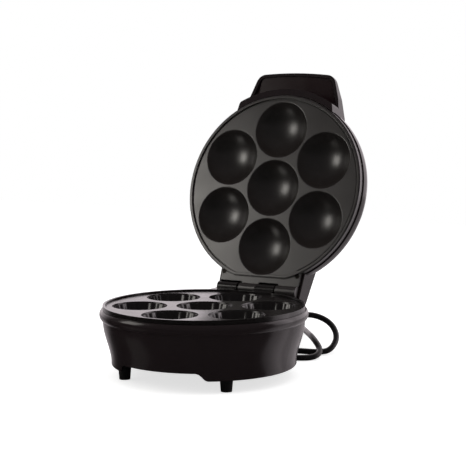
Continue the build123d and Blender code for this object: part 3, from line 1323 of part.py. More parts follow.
def inner_leads():
    """Leads inside the base: cord to terminal block, block to fuse and thermostat, both to the element."""
    socket_z = COVER_TOP_Z + BLOCK_SOCKET_Z
    near, far = BLOCK_Y - BLOCK_W / 2, BLOCK_Y + BLOCK_W / 2
    left, right = block_sockets()
    right_deg, left_deg = ELEMENT_LEG_DEGS
    start = BUSH_FACE_Y - BUSH_SEAT_DEPTH - FIT - BUSH_COLLAR
    turn, low = start - 2.5 * LEAD_R, CORD_EXIT_Z - 6.5 * LEAD_R
    tag_z = CUP_UNDER_Z - STAT_CAP_H - STAT_EAR_THICK - STAT_BODY_H - STAT_TAG_H / 2
    tag_x = STAT_TAG_X + TAG_THICK / 2
    clear_x = STAT_EAR
    front_y = -STAT_R - 5 * LEAD_R
    fuse_z = PAN_FLOOR_Z - FIT - FUSE_R
    fuse_in, fuse_out = FUSE_X + FUSE_LEN, FUSE_X - FUSE_LEN
    outside = PAN_FLOOR_R + 3 * LEAD_R
    routes = []
    for socket, side in ((left, -1), (right, 1)):
        x = CORD_EXIT_X + side * LEAD_APART / 2
        routes.append([
            (x, start, CORD_EXIT_Z),
            (x, turn, CORD_EXIT_Z),
            (x, turn, low),
            (socket, far + 6 * LEAD_R, socket_z),
            (socket, far, socket_z),
        ])
    routes.append([
        (left, near, socket_z),
        (left, near - 10 * LEAD_R, socket_z),
        (fuse_in + 6 * LEAD_R, FUSE_Y, fuse_z),
        (fuse_in, FUSE_Y, fuse_z),
    ])
    routes.append([
        (right, near, socket_z),
        (right, near - 10 * LEAD_R, socket_z),
        (clear_x + LEAD_R, 0, tag_z),
        (tag_x, 0, tag_z),
    ])
    routes.append([
        (fuse_out, FUSE_Y, fuse_z),
        (fuse_out - 8 * LEAD_R, FUSE_Y, fuse_z),
    ] + lead_up(left_deg, fuse_z, outside, LOWER_ELEMENT_Z))
    routes.append([
        (-tag_x, 0, tag_z),
        (-clear_x, 0, tag_z),
        (-clear_x, front_y, tag_z),
        (clear_x + 8 * LEAD_R, front_y, tag_z),
        (BLOCK_L, BLOCK_Y / 2, fuse_z),
    ] + lead_up(right_deg, fuse_z, outside, LOWER_ELEMENT_Z))
    return leads(routes)


def lid_leads():
    """Leads inside the lid from the pins of the upper element to its thermostat."""
    tag_z = STAT_UPPER_Z + STAT_CAP_H + STAT_EAR_THICK + STAT_BODY_H + STAT_TAG_H / 2
    tag_x = STAT_TAG_X + TAG_THICK / 2
    pin_r = ELEMENT_LEG_END + TERMINAL_LEN + LEAD_GAP + LEAD_R
    over = SHIELD_Z + SHEET + 1.5 * LEAD_R
    routes = []
    for angle, side in zip(ELEMENT_LEG_DEGS, (1, -1)):
        routes.append([
            (*polar(pin_r, angle), UPPER_ELEMENT_Z - LEAD_R),
            (*polar(pin_r, angle), UPPER_ELEMENT_Z + 3 * ELEMENT_R),
            (*polar(SHIELD_R - SHIELD_NOTCH / 2, angle), over),
            (side * 1.5 * STAT_EAR, STAT_EAR, over + 3 * LEAD_R),
            (side * (STAT_EAR + LEAD_R), 0, tag_z),
            (side * tag_x, 0, tag_z),
        ])
    return leads(routes)


def base_nodes():
    """Every piece of the base by name."""
    cord_radii = corner_radii(CORD_POINTS)
    cord, length = tube(CORD_POINTS, CORD_R, cord_radii)
    report_cord(cord, length, cord_radii)
    nodes = {
        "base_housing": base_housing(),
        "bottom_cover": bottom_cover(),
        "foot_screws": foot_screws(),
        "bottom_screws": bottom_screws(),
        "lower_bake_plate": lower_bake_plate(),
        "plate_screws": plate_screws(),
        "lower_element": element(LOWER_ELEMENT_Z),
        "lower_element_clamps": clamps(LOWER_ELEMENT_Z - ELEMENT_R - FIT - CLAMP_THICK),
        "lower_clamp_screws": lower_clamp_screws(),
        "reflector_pan": reflector_pan(),
        "lower_thermostat": thermostat(CUP_UNDER_Z, -1),
        "lower_thermostat_screws": thermostat_screws(CUP_UNDER_Z, -1),
        "thermal_fuse": thermal_fuse(),
        "fuse_clip": fuse_clip(),
        "terminal_block": terminal_block(),
        "terminal_screw": terminal_screw(),
        "inner_leads": inner_leads(),
        "hinge_pin": hinge_pin(),
        "cord_bush": cord_bush(),
        "power_cord": cord,
        "plug_body": plug_body(),
        "plug_pins": plug_pins(),
    }
    for name, place in foot_places().items():
        nodes[name] = foot(place)
    return nodes


def lid_nodes():
    """Every piece of the lid by name, closed."""
    clamp_z = UPPER_ELEMENT_Z + ELEMENT_R + FIT
    return {
        "upper_bake_plate": upper_bake_plate(),
        "tab_screws": tab_screws(),
        "lid_cover": lid_cover(),
        "handle_underside": handle_underside(),
        "upper_element": element(UPPER_ELEMENT_Z),
        "upper_element_clamps": clamps(clamp_z),
        "upper_clamp_screws": lid_screws(CLAMP_SCREW_CIRCLE, clamp_z + CLAMP_THICK),
        "heat_shield": heat_shield(),
        "shield_screws": lid_screws(SHIELD_POST_CIRCLE, SHIELD_Z + SHEET),
        "upper_thermostat": thermostat(STAT_UPPER_Z, 1),
        "upper_thermostat_screws": thermostat_screws(STAT_UPPER_Z, 1),
        "power_lens": lens(-LAMP_X),
        "ready_lens": lens(LAMP_X),
        "power_lamp": lamp(-LAMP_X),
        "ready_lamp": lamp(LAMP_X),
        "lid_leads": lid_leads(),
    }


def report_cord(cord, length, radii):
    """Print the cord's length, its tube's volume against section by length, and its bend radii."""
    section = pi * CORD_R**2
    print("cord length %.1f, volume ratio %.5f" % (length, cord.volume / (section * length)))
    print("cord bend radii", " ".join("%.0f" % radius for radius in radii))


def main():
    """Build every piece, open the lid, centre the cooker and write one file per piece."""
    pieces = {name: as_list(piece) for name, piece in base_nodes().items()}
    for name, piece in lid_nodes().items():
        pieces[name] = opened(as_list(piece))
    on_cord = ("power_cord", "plug_body", "plug_pins")
    solids = [solid for name, piece in pieces.items() if name not in on_cord for solid in piece]
    boxes = [solid.bounding_box() for solid in solids]
    shift = (min(box.min.Y for box in boxes) + max(box.max.Y for box in boxes)) / 2
    print("moved back by %.4f" % shift)
    os.makedirs("parts", exist_ok=True)
    for name, piece in pieces.items():
        placed = [Pos(0, -shift, 0) * solid for solid in piece]
        shape = placed[0] if len(placed) == 1 else Compound(children=placed)
        export_step(shape, "parts/" + name + ".step")


main()
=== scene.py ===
import logging
import math
from dataclasses import dataclass
from enum import Enum
from typing import Sequence

import bmesh
import bpy
from mathutils import Matrix, Vector


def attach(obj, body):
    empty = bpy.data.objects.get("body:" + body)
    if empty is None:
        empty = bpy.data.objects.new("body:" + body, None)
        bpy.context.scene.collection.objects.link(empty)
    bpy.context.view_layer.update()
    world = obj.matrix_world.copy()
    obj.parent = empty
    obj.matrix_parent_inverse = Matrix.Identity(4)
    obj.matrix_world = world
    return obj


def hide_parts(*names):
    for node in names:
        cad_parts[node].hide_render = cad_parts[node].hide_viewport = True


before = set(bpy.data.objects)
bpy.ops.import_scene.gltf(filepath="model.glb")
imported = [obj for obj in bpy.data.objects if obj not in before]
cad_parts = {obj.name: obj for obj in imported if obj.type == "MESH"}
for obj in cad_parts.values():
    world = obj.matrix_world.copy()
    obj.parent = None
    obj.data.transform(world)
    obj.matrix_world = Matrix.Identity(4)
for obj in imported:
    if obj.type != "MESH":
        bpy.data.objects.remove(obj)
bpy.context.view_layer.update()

LOG = logging.getLogger("cupcake_maker")
MM = 0.001
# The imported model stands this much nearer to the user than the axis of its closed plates.
SETBACK = 0.0559244
FULL_TURN = 2 * math.pi
# Edges of the lid cover that turn by more than this stay sharp.
SHARP_DEG = 24

# Radius and height of the points of a turned piece.
Outline = Sequence[tuple[float, float]]


def linear(code: str) -> tuple[float, float, float, float]:
    """Turn an sRGB hex colour into the linear values that shaders use.

    Args:
        code: The colour as "#rrggbb".

    Returns:
        Red, green, blue and a full alpha.
    """
    parts = [int(code[k : k + 2], 16) / 255 for k in (1, 3, 5)]
    low, bend = 0.04045, 1.055
    return (*[c / 12.92 if c <= low else ((c + bend - 1) / bend) ** 2.4 for c in parts], 1.0)


def placed(x: float, y: float, z: float) -> Vector:
    """Point in the row frame from metres measured from the axis of the closed plates.

    Args:
        x: Metres to the user's right.
        y: Metres away from the user.
        z: Metres above the table.

    Returns:
        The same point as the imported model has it.
    """
    return Vector((x, y - SETBACK, z))


def add_node(tree: bpy.types.NodeTree, kind: str, **settings: object) -> bpy.types.Node:
    """Add a node with its settings and links.

    Args:
        tree: The node tree that gets the node.
        kind: The node's type name.
        **settings: A property's name, or an input's name with spaces as "__", or "i0" for
            the input at an index. A value that is a socket is linked, any other is set.

    Returns:
        The new node.
    """
    node = tree.nodes.new(kind)
    for name, value in settings.items():
        label = name.replace("__", " ")
        if name[0] == "i" and name[1:].isdigit():
            socket = node.inputs[int(name[1:])]
        elif label in node.inputs:
            socket = node.inputs[label]
        else:
            setattr(node, name, value)
            continue
        if isinstance(value, bpy.types.NodeSocket):
            tree.links.new(value, socket)
        else:
            socket.default_value = value
    return node


def add_object(name: str, data: bpy.types.ID) -> bpy.types.Object:
    """Put a new object into the scene.

    Args:
        name: The object's name.
        data: Its mesh, curve, camera or light.

    Returns:
        The object.
    """
    piece = bpy.data.objects.new(name, data)
    bpy.context.scene.collection.objects.link(piece)
    return piece


class Grain(Enum):
    """Kind of fine relief that a surface has from how it was made."""

    MOULDED = "moulded"
    SPRAYED = "sprayed"
    SPARKED = "sparked"
    ROLLED = "rolled"


@dataclass(frozen=True)
class Finish:
    """A real surface: what it is made of, how it was made and what that shows.

    Attributes:
        name: The material's name.
        colour: One end of its colour, as sRGB hex.
        tint: The other end of its colour.
        roughness: Its mean roughness.
        roughness_swing: How far the roughness goes to either side.
        grain: The kind of its fine relief.
        grain_mm: The size of one grain.
        relief_mm: The height of the relief.
        metallic: 1 for bare metal.
        ior: Its index of refraction, higher for a coat that mirrors more.
        mottle_mm: The size of the slow change in colour and roughness.
        edge_mm: The radius that its edges are softened by.
    """

    name: str
    colour: str
    tint: str
    roughness: float
    roughness_swing: float
    grain: Grain
    grain_mm: float
    relief_mm: float
    metallic: float = 0.0
    ior: float = 1.5
    mottle_mm: float = 24.0
    edge_mm: float = 0.5

    def make(self) -> bpy.types.Material:
        """Build the material once.

        Returns:
            The material, new or made before.
        """
        known = bpy.data.materials.get(self.name)
        if known:
            return known
        material = bpy.data.materials.new(self.name)
        material.use_nodes = True
        tree = material.node_tree
        tree.nodes.clear()
        where = add_node(tree, "ShaderNodeTexCoord").outputs["Object"]
        mottle = add_node(
            tree, "ShaderNodeTexNoise", Vector=where, Scale=1 / (self.mottle_mm * MM), Detail=3.0
        )
        colour = add_node(
            tree,
            "ShaderNodeMix",
            data_type="RGBA",
            i0=mottle.outputs["Fac"],
            i6=linear(self.colour),
            i7=linear(self.tint),
        )
        relief = self.relief(tree, where)
        rough = add_node(
            tree,
            "ShaderNodeMapRange",
            Value=mottle.outputs["Fac"],
            From__Min=0.3,
            From__Max=0.7,
            To__Min=self.roughness - self.roughness_swing,
            To__Max=self.roughness + self.roughness_swing,
        )
        soft_edge = add_node(tree, "ShaderNodeBevel", samples=4, Radius=self.edge_mm * MM)
        bump = add_node(
            tree,
            "ShaderNodeBump",
            Height=relief,
            Distance=self.relief_mm * MM,
            Strength=1.0,
            Normal=soft_edge.outputs["Normal"],
        )
        shader = add_node(
            tree,
            "ShaderNodeBsdfPrincipled",
            Base__Color=colour.outputs[2],
            Roughness=rough.outputs["Result"],
            Normal=bump.outputs["Normal"],
            Metallic=self.metallic,
            IOR=self.ior,
        )
        add_node(tree, "ShaderNodeOutputMaterial", Surface=shader.outputs["BSDF"])
        return material

    def relief(self, tree: bpy.types.NodeTree, where: bpy.types.NodeSocket) -> bpy.types.NodeSocket:
        """Height pattern of the surface.

        Args:
            tree: The material's node tree.
            where: Object coordinates in metres.

        Returns:
            The socket that gives the height, from 0 to 1.
        """
        scale = 1 / (self.grain_mm * MM)
        if self.grain is Grain.ROLLED:
            along = 0.06
            stretched = add_node(
                tree, "ShaderNodeMapping", Vector=where, Scale=(scale * along, scale, scale)
            )
            lines = add_node(
                tree, "ShaderNodeTexNoise", Vector=stretched.outputs[0], Scale=1.0, Detail=2.0
            )
            return lines.outputs["Fac"]
        if self.grain is Grain.SPARKED:
            pits = add_node(tree, "ShaderNodeTexVoronoi", Vector=where, Scale=scale)
            return pits.outputs["Distance"]
        detail = 1.0 if self.grain is Grain.MOULDED else 4.0
        grain = add_node(tree, "ShaderNodeTexNoise", Vector=where, Scale=scale, Detail=detail)
        return grain.outputs["Fac"]


# Injection-moulded ABS from a polished mould: near-black brown with clear reflections and a
# faint long waviness.
GLOSS_ABS = Finish(
    "gloss_abs_moulded", "#1e1819", "#221c1d", 0.18, 0.02, Grain.MOULDED, 9.0, 0.01, ior=1.53
)
# The same ABS from a finely textured mould, as inside the handle: softer, slightly redder.
SATIN_ABS = Finish(
    "satin_abs_moulded", "#1d1113", "#221517", 0.24, 0.03, Grain.SPARKED, 0.9, 0.008, ior=1.33
)
# PP of the closed underside, spark-textured and dull.
TEXTURED_PP = Finish(
    "textured_polypropylene", "#121112", "#181617", 0.55, 0.06, Grain.SPARKED, 0.8, 0.05
)
# Die-cast aluminium sprayed with dark PTFE: nearly a mirror at a low angle.
BAKING_COAT = Finish(
    "ptfe_on_cast_aluminium_gloss", "#120f0f", "#171413", 0.21, 0.03, Grain.SPRAYED, 2.5, 0.006, ior=1.8
)
# The same casting in the lid with a duller coat, whose grit spreads each light wide.
LID_COAT = Finish(
    "ptfe_on_cast_aluminium_satin",
    "#17110f",
    "#1c1614",
    0.36,
    0.03,
    Grain.SPRAYED,
    1.1,
    0.012,
    ior=2.5,
    edge_mm=1.1,
)
# Moulded rubber of the feet, matte.
FOOT_RUBBER = Finish(
    "foot_rubber_moulded", "#0e0d0d", "#171515", 0.62, 0.08, Grain.SPARKED, 0.7, 0.05
)
# Extruded PVC of the mains cord, smooth with a faint grain and a soft shine.
CORD_PVC = Finish("cord_pvc_extruded", "#121112", "#1a191a", 0.30, 0.05, Grain.SPRAYED, 1.6, 0.02)
# PVC moulded over the plug and the strain relief.
PLUG_PVC = Finish("plug_pvc_moulded", "#121112", "#191718", 0.38, 0.05, Grain.SPARKED, 0.9, 0.03)
# Zinc-plated steel of the screws.
ZINC_STEEL = Finish(
    "zinc_plated_steel", "#8f8e8a", "#a3a29d", 0.32, 0.06, Grain.SPRAYED, 1.2, 0.01, metallic=1.0
)
# Steel screws blackened against rust, as the hinge tab's.
BLACK_STEEL = Finish(
    "black_oxide_steel", "#34322f", "#3e3b38", 0.42, 0.05, Grain.SPRAYED, 1.2, 0.01, metallic=1.0
)
# Drawn steel wire of the hinge pin.
DRAWN_STEEL = Finish(
    "drawn_steel", "#8a8a8c", "#9c9c9e", 0.28, 0.05, Grain.ROLLED, 0.5, 0.01, metallic=1.0
)
# Aluminised steel sheet, rolled.
SHEET_STEEL = Finish(
    "aluminised_steel_rolled", "#a4a6a8", "#b5b6b7", 0.38, 0.06, Grain.ROLLED, 0.6, 0.01, metallic=1.0
)
# Oxidised steel sheath of the heating elements.
ELEMENT_STEEL = Finish(
    "oxidised_steel_tube", "#4b4740", "#5f594e", 0.48, 0.08, Grain.SPRAYED, 1.4, 0.02, metallic=1.0
)
# Pressed aluminium of the heat shield and the thermostats.
PRESSED_ALUMINIUM = Finish(
    "aluminium_pressed", "#b9babb", "#c6c7c8", 0.33, 0.06, Grain.ROLLED, 0.6, 0.01, metallic=1.0
)
# Natural nylon of the terminal block.
NATURAL_NYLON = Finish(
    "natural_nylon_moulded", "#ddd9cb", "#e6e2d6", 0.42, 0.05, Grain.MOULDED, 3.0, 0.02
)
# Glass sleeve over the inner leads.
GLASS_SLEEVE = Finish(
    "glass_sleeve_braided", "#c9c2b2", "#d8d2c4", 0.62, 0.06, Grain.SPARKED, 0.6, 0.05
)
# Nickel-tinted brass of the plug's pins.
PIN_BRASS = Finish(
    "brass_stamped", "#a88f57", "#b79d63", 0.24, 0.05, Grain.ROLLED, 0.5, 0.008, metallic=1.0
)
# Clear red and green acrylic of the lamps' caps.
RED_ACRYLIC = Finish(
    "red_acrylic_moulded", "#6d0c0b", "#7c100e", 0.08, 0.02, Grain.MOULDED, 3.0, 0.01, ior=1.49
)
GREEN_ACRYLIC = Finish(
    "green_acrylic_moulded", "#0b4d1c", "#0e5a22", 0.08, 0.02, Grain.MOULDED, 3.0, 0.01, ior=1.49
)
# Glass of the small lamps.
LAMP_GLASS = Finish(
    "lamp_glass_blown", "#b9b4a8", "#c6c2b8", 0.10, 0.02, Grain.MOULDED, 3.0, 0.01, ior=1.52
)

NODE_FINISHES: dict[Finish, tuple[str, ...]] = {
    GLOSS_ABS: ("base_housing", "lid_cover"),
    SATIN_ABS: ("handle_underside",),
    TEXTURED_PP: ("bottom_cover",),
    BAKING_COAT: ("lower_bake_plate",),
    LID_COAT: ("upper_bake_plate",),
    FOOT_RUBBER: ("foot_front_left", "foot_front_right", "foot_rear_left", "foot_rear_right"),
    CORD_PVC: ("power_cord",),
    PLUG_PVC: ("cord_bush", "plug_body"),
    ZINC_STEEL: (
        "foot_screws",
        "bottom_screws",
        "plate_screws",
        "lower_clamp_screws",
        "lower_thermostat_screws",
        "terminal_screw",
        "upper_clamp_screws",
        "shield_screws",
        "upper_thermostat_screws",
    ),
    BLACK_STEEL: ("tab_screws",),
    DRAWN_STEEL: ("hinge_pin",),
    SHEET_STEEL: (
        "reflector_pan",
        "lower_element_clamps",
        "upper_element_clamps",
        "fuse_clip",
    ),
    ELEMENT_STEEL: ("lower_element", "upper_element"),
    PRESSED_ALUMINIUM: ("heat_shield", "lower_thermostat", "upper_thermostat", "thermal_fuse"),
    NATURAL_NYLON: ("terminal_block",),
    GLASS_SLEEVE: ("inner_leads", "lid_leads"),
    PIN_BRASS: ("plug_pins",),
    RED_ACRYLIC: ("power_lens",),
    GREEN_ACRYLIC: ("ready_lens",),
    LAMP_GLASS: ("power_lamp", "ready_lamp"),
}


def dress(piece: bpy.types.Object, finish: Finish) -> None:
    """Give a piece one finish and nothing else.

    Args:
        piece: The object to dress.
        finish: Its surface.
    """
    piece.data.materials.clear()
    piece.data.materials.append(finish.make())


def dress_nodes() -> int:
    """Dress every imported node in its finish.

    Returns:
        How many nodes were dressed.
    """
    count = 0
    for finish, nodes in NODE_FINISHES.items():
        for name in nodes:
            dress(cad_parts[name], finish)
            count += 1
    return count


def lid_shell() -> bpy.types.Object:
    """Copy the lid cover with normals of its own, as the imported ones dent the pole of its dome.

    Returns:
        The copy.
    """
    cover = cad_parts["lid_cover"]
    mesh = cover.data.copy()
    stored = mesh.attributes.get("custom_normal")
    if stored:
        mesh.attributes.remove(stored)
    mesh.set_sharp_from_angle(angle=math.radians(SHARP_DEG))
    shell = add_object("lid_shell", mesh)
    shell.matrix_world = cover.matrix_world.copy()
    dress(shell, GLOSS_ABS)
    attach(shell, "lid")
    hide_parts("lid_cover")
    return shell


def ring_mesh(name: str, rings: Sequence[Sequence[Vector]]) -> bpy.types.Object:
    """Skin a row of rings that have the same number of points, with a face at each end.

    Args:
        name: The new object's name.
        rings: The rings, in order along the piece.

    Returns:
        The object, smooth shaded, in the scene.
    """
    shape = bmesh.new()
    loops = [[shape.verts.new(point) for point in ring] for ring in rings]
    size = len(rings[0])
    for low, high in zip(loops, loops[1:]):
        for k in range(size):
            after = (k + 1) % size
            shape.faces.new((low[k], low[after], high[after], high[k]))
    shape.faces.new(list(reversed(loops[0])))
    shape.faces.new(loops[-1])
    bmesh.ops.recalc_face_normals(shape, faces=shape.faces)
    mesh = bpy.data.meshes.new(name)
    shape.to_mesh(mesh)
    shape.free()
    for face in mesh.polygons:
        face.use_smooth = True
    return add_object(name, mesh)


def rounded(points: Outline, radius: float, steps: int) -> Outline:
    """Round every inner corner of an open outline.

    Args:
        points: The outline in radius and height.
        radius: The largest rounding; short runs take less.
        steps: Points on each rounding.

    Returns:
        The outline with arcs drawn as short runs.
    """
    outline = [points[0]]
    for before, corner, after in zip(points, points[1:], points[2:]):
        here, share = Vector(corner), 0.45
        back, ahead = Vector(before) - here, Vector(after) - here
        reach = min(radius, share * back.length, share * ahead.length)
        start, end = here + back.normalized() * reach, here + ahead.normalized() * reach
        for k in range(steps + 1):
            t = k / steps
            bend = start.lerp(here, t).lerp(here.lerp(end, t), t)
            outline.append((bend.x, bend.y))
    outline.append(points[-1])
    return outline


def turned(name: str, outline: Outline, matrix: Matrix, sides: int = 64) -> bpy.types.Object:
    """Turn an outline about the local Z axis and put it in place.

    Args:
        name: The new object's name.
        outline: Radius and height, from one end of the axis to the other, in metres.
        matrix: Where the local frame lies in the row frame.
        sides: Faces round the axis.

    Returns:
        The object.
    """
    rings = []
    for radius, height in outline:
        ring = []
        for k in range(sides):
            turn = FULL_TURN * k / sides
            point = Vector((radius * math.cos(turn), radius * math.sin(turn), height))
            ring.append(matrix @ point)
        rings.append(ring)
    return ring_mesh(name, rings)


def frame_along(origin: Vector, ahead: Vector, side: Vector) -> Matrix:
    """Local frame with Z ahead and X to a side.

    Args:
        origin: The frame's origin.
        ahead: Direction of Z.
        side: Direction of X, made square to Z.

    Returns:
        The frame as a matrix.
    """
    z = ahead.normalized()
    x = (side - z * side.dot(z)).normalized()
    y = z.cross(x)
    return Matrix.Translation(origin) @ Matrix((x, y, z)).transposed().to_4x4()


@dataclass
class MainsCord:
    """Mains lead with its strain relief and its plug, all sizes in metres.

    Attributes:
        diameter: The cord's diameter.
        length: The cord's whole length; not used.
        bush_face: Depth of the wall's outer face where the strain relief sits.
        bush_length: How far the strain relief stands out.
        plug_tail: Length of the plug's ribbed neck.
        plug_length: Length of the plug's grip.
        plug_width: Width of the plug's face.
        plug_height: Height of the plug's face.
        route: Control points of the cord, from the strain relief to the plug.
    """

    diameter: float = 0.0072
    length: float = 0.8
    bush_face: float = 0.113
    bush_length: float = 0.034
    plug_tail: float = 0.014
    plug_length: float = 0.032
    plug_width: float = 0.026
    plug_height: float = 0.015
    route: tuple[tuple[float, float, float], ...] = (
        (0.012, 0.147, 0.041),
        (0.012, 0.165, 0.041),
        (0.020, 0.187, 0.044),
        (0.037, 0.207, 0.043),
        (0.058, 0.211, 0.0335),
        (0.073, 0.198, 0.019),
        (0.072, 0.180, 0.0055),
        (0.060, 0.171, 0.0036),
        (0.038, 0.1675, 0.0036),
        (0.012, 0.165, 0.0036),
        (-0.015, 0.173, 0.0036),
        (-0.042, 0.195, 0.0036),
        (-0.068, 0.226, 0.0036),
        (-0.090, 0.255, 0.0036),
        (-0.105, 0.291, 0.0036),
        (-0.096, 0.319, 0.0036),
        (-0.072, 0.334, 0.0036),
        (-0.046, 0.328, 0.0036),
        (-0.026, 0.300, 0.0045),
        (-0.008, 0.262, 0.013),
        (0.010, 0.227, 0.0205),
        (0.032, 0.1955, 0.022),
        (0.055, 0.168, 0.0205),
        (0.072, 0.1545, 0.0095),
        (0.071, 0.1395, 0.0036),
        (0.055, 0.126, 0.0036),
        (0.032, 0.125, 0.0036),
        (0.008, 0.131, 0.0036),
        (-0.016, 0.1345, 0.0055),
        (-0.040, 0.137, 0.0076),
    )

    def lead(self) -> bpy.types.Object:
        """Lay the cord as one smooth curve.

        Returns:
            The cord.
        """
        curve = bpy.data.curves.new("mains_lead", "CURVE")
        curve.dimensions = "3D"
        curve.bevel_depth = self.diameter / 2
        curve.bevel_resolution = 8
        curve.resolution_u = 12
        curve.use_fill_caps = True
        spline = curve.splines.new("NURBS")
        spline.points.add(len(self.route) - 1)
        for point, at in zip(spline.points, self.route):
            point.co = (*placed(*at), 1.0)
        spline.order_u = 3
        spline.use_endpoint_u = True
        cord = add_object("mains_lead", curve)
        dress(cord, CORD_PVC)
        return cord

    def relief(self) -> bpy.types.Object:
        """Turn the tapered strain relief with its rounded ribs.

        Returns:
            The strain relief.
        """
        start = placed(self.route[0][0], self.bush_face, self.route[0][2])
        matrix = frame_along(start, Vector((0, 1, 0)), Vector((1, 0, 0)))
        collar_back, collar_front, collar_r, neck_r = -7.8, -6.3, 7.0, 5.4
        flange_r, flange, root_r, tip_r = 7.6, 2.2, 6.4, 4.3
        rib_start, rib_pitch, rib_count, taper, groove = 6.6, 4.6, 5, 1.7, 0.95
        outline = [
            (0.0, collar_back),
            (collar_r, collar_back),
            (collar_r, collar_front),
            (neck_r, collar_front),
            (neck_r, 0.0),
            (flange_r, 0.0),
            (flange_r, flange),
            (root_r, flange + 0.7),
        ]
        tip = self.bush_length / MM
        for k in range(rib_count):
            y = rib_start + rib_pitch * k
            out = root_r - taper * (y - flange) / (tip - flange)
            low = out - groove
            outline += [(out, y), (low, y + 0.5), (low, y + 1.5), (out - 0.05, y + 2.0)]
        outline += [(tip_r + 0.42, tip - 0.4), (tip_r, tip), (0.0, tip)]
        metres = [(r * MM, z * MM) for r, z in rounded(outline, radius=0.45, steps=3)]
        bush = turned("strain_relief", metres, matrix)
        dress(bush, PLUG_PVC)
        return bush

    def plug_frame(self) -> Matrix:
        """Frame at the cord's end, looking along the plug.

        Returns:
            The frame as a matrix.
        """
        end, before = placed(*self.route[-1]), placed(*self.route[-2])
        ahead = end - before
        return frame_along(end, ahead, Vector((-ahead.y, ahead.x, 0)))

    def plug(self) -> bpy.types.Object:
        """Loft the moulded plug: ribbed neck, shoulder, waisted grip and flat face.

        Returns:
            The plug.
        """
        tail, full = self.plug_tail / MM, (self.plug_tail + self.plug_length) / MM
        half_w, half_h = self.plug_width / MM / 2, self.plug_height / MM / 2
        rib_start, rib_pitch, rib_count, rib_r, rib_growth, groove = 1.4, 3.0, 4, 4.6, 0.42, 0.7
        circle = 2.0
        # Half width, half height, place along the plug and squareness of each section.
        sections = [(3.7, 3.7, 0.0, circle), (4.4, 4.4, 0.6, circle)]
        for k in range(rib_count):
            z, out = rib_start + rib_pitch * k, rib_r + rib_growth * k
            low = out - groove
            sections += [(out, out, z, circle), (out, out, z + 1.6, circle)]
            sections += [(low, low, z + 2.0, circle), (low, low, z + 2.5, circle)]
        sections += [
            (6.4, 6.2, tail - 0.4, 2.2),
            (9.2, 6.7, tail + 1.2, 2.6),
            (11.6, 7.1, tail + 4.0, 3.2),
            (12.7, 7.4, tail + 8.0, 4.0),
            (12.2, 6.9, tail + 14.0, 4.0),
            (11.9, 6.6, tail + 18.0, 4.0),
            (12.3, 7.0, tail + 23.0, 4.0),
            (half_w - 0.1, half_h - 0.1, tail + 27.0, 4.5),
            (half_w - 0.1, half_h - 0.1, full - 1.2, 5.0),
            (half_w - 0.5, half_h - 0.5, full - 0.3, 5.0),
            (half_w - 1.2, half_h - 1.2, full, 5.0),
        ]
        matrix, sides = self.plug_frame(), 72
        rings = []
        for wide, high, z, power in sections:
            ring = []
            for k in range(sides):
                turn = FULL_TURN * k / sides
                c, s = math.cos(turn), math.sin(turn)
                x = math.copysign(abs(c) ** (2 / power), c) * wide
                y = math.copysign(abs(s) ** (2 / power), s) * high
                ring.append(matrix @ (Vector((x, y, z)) * MM))
            rings.append(ring)
        plug = ring_mesh("moulded_plug", rings)
        dress(plug, PLUG_PVC)
        return plug

    def build(self) -> list[bpy.types.Object]:
        """Returns:
            The new pieces.
        """
        lead, bush, plug = self.lead(), self.relief(), self.plug()
        for piece, node, slot in (
            (lead, "power_cord", "cord_pvc"),
            (bush, "cord_bush", "cord_pvc"),
            (plug, "plug_body", "plug_pvc"),
        ):
            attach(piece, "base")
            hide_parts(node)
        return [lead, bush, plug]


def add_choice(
    tree: bpy.types.NodeTree,
    fac: bpy.types.NodeSocket,
    first: bpy.types.NodeSocket,
    second: bpy.types.NodeSocket,
) -> bpy.types.NodeSocket:
    """Mix two shaders.

    Args:
        tree: The node tree.
        fac: 0 for the first shader, 1 for the second.
        first: The first shader.
        second: The second shader.

    Returns:
        The mixed shader.
    """
    return add_node(tree, "ShaderNodeMixShader", Fac=fac, i1=first, i2=second).outputs[0]


def seen_itself(tree: bpy.types.NodeTree, path: bpy.types.Node) -> bpy.types.NodeSocket:
    """Factor that is 1 where the camera sees a surface itself, also through a clear piece.

    Args:
        tree: The node tree.
        path: Its light path node.

    Returns:
        The factor.
    """
    rays = path.outputs["Is Camera Ray"], path.outputs["Is Transmission Ray"]
    return add_node(tree, "ShaderNodeMath", operation="MAXIMUM", i0=rays[0], i1=rays[1]).outputs[0]


def smooth_ramp(
    tree: bpy.types.NodeTree,
    value: bpy.types.NodeSocket,
    across: tuple[float, float],
    levels: tuple[float, float],
) -> bpy.types.NodeSocket:
    """Lead a value smoothly from one level to another.

    Args:
        tree: The node tree.
        value: The value.
        across: Where the change starts and ends.
        levels: The level before and after it.

    Returns:
        The level.
    """
    ramp = add_node(
        tree,
        "ShaderNodeMapRange",
        interpolation_type="SMOOTHSTEP",
        Value=value,
        From__Min=across[0],
        From__Max=across[1],
        To__Min=levels[0],
        To__Max=levels[1],
    )
    return ramp.outputs["Result"]


@dataclass(frozen=True)
class Softbox:
    """Rectangular lamp that faces the cooker.

    Attributes:
        name: The lamp's name.
        at: Where it hangs, in metres from the axis of the closed plates.
        size: Its width and height in metres.
        watts: Its power.
        tint: Its colour.
        mirrored: Whether reflections show it.
    """

    name: str
    at: tuple[float, float, float]
    size: tuple[float, float]
    watts: float
    tint: str
    mirrored: bool = True

    def hang(self) -> bpy.types.Object:
        """Hang the lamp.

        Returns:
            The lamp.
        """
        data = bpy.data.lights.new(self.name, "AREA")
        data.shape = "RECTANGLE"
        data.size, data.size_y = self.size
        data.energy = self.watts
        data.color = linear(self.tint)[:3]
        lamp = add_object(self.name, data)
        lamp.location = placed(*self.at)
        aim = placed(0.0, 0.05, 0.12) - lamp.location
        lamp.rotation_mode = "QUATERNION"
        lamp.rotation_quaternion = aim.to_track_quat("-Z", "Y")
        lamp.visible_glossy = self.mirrored
        return lamp


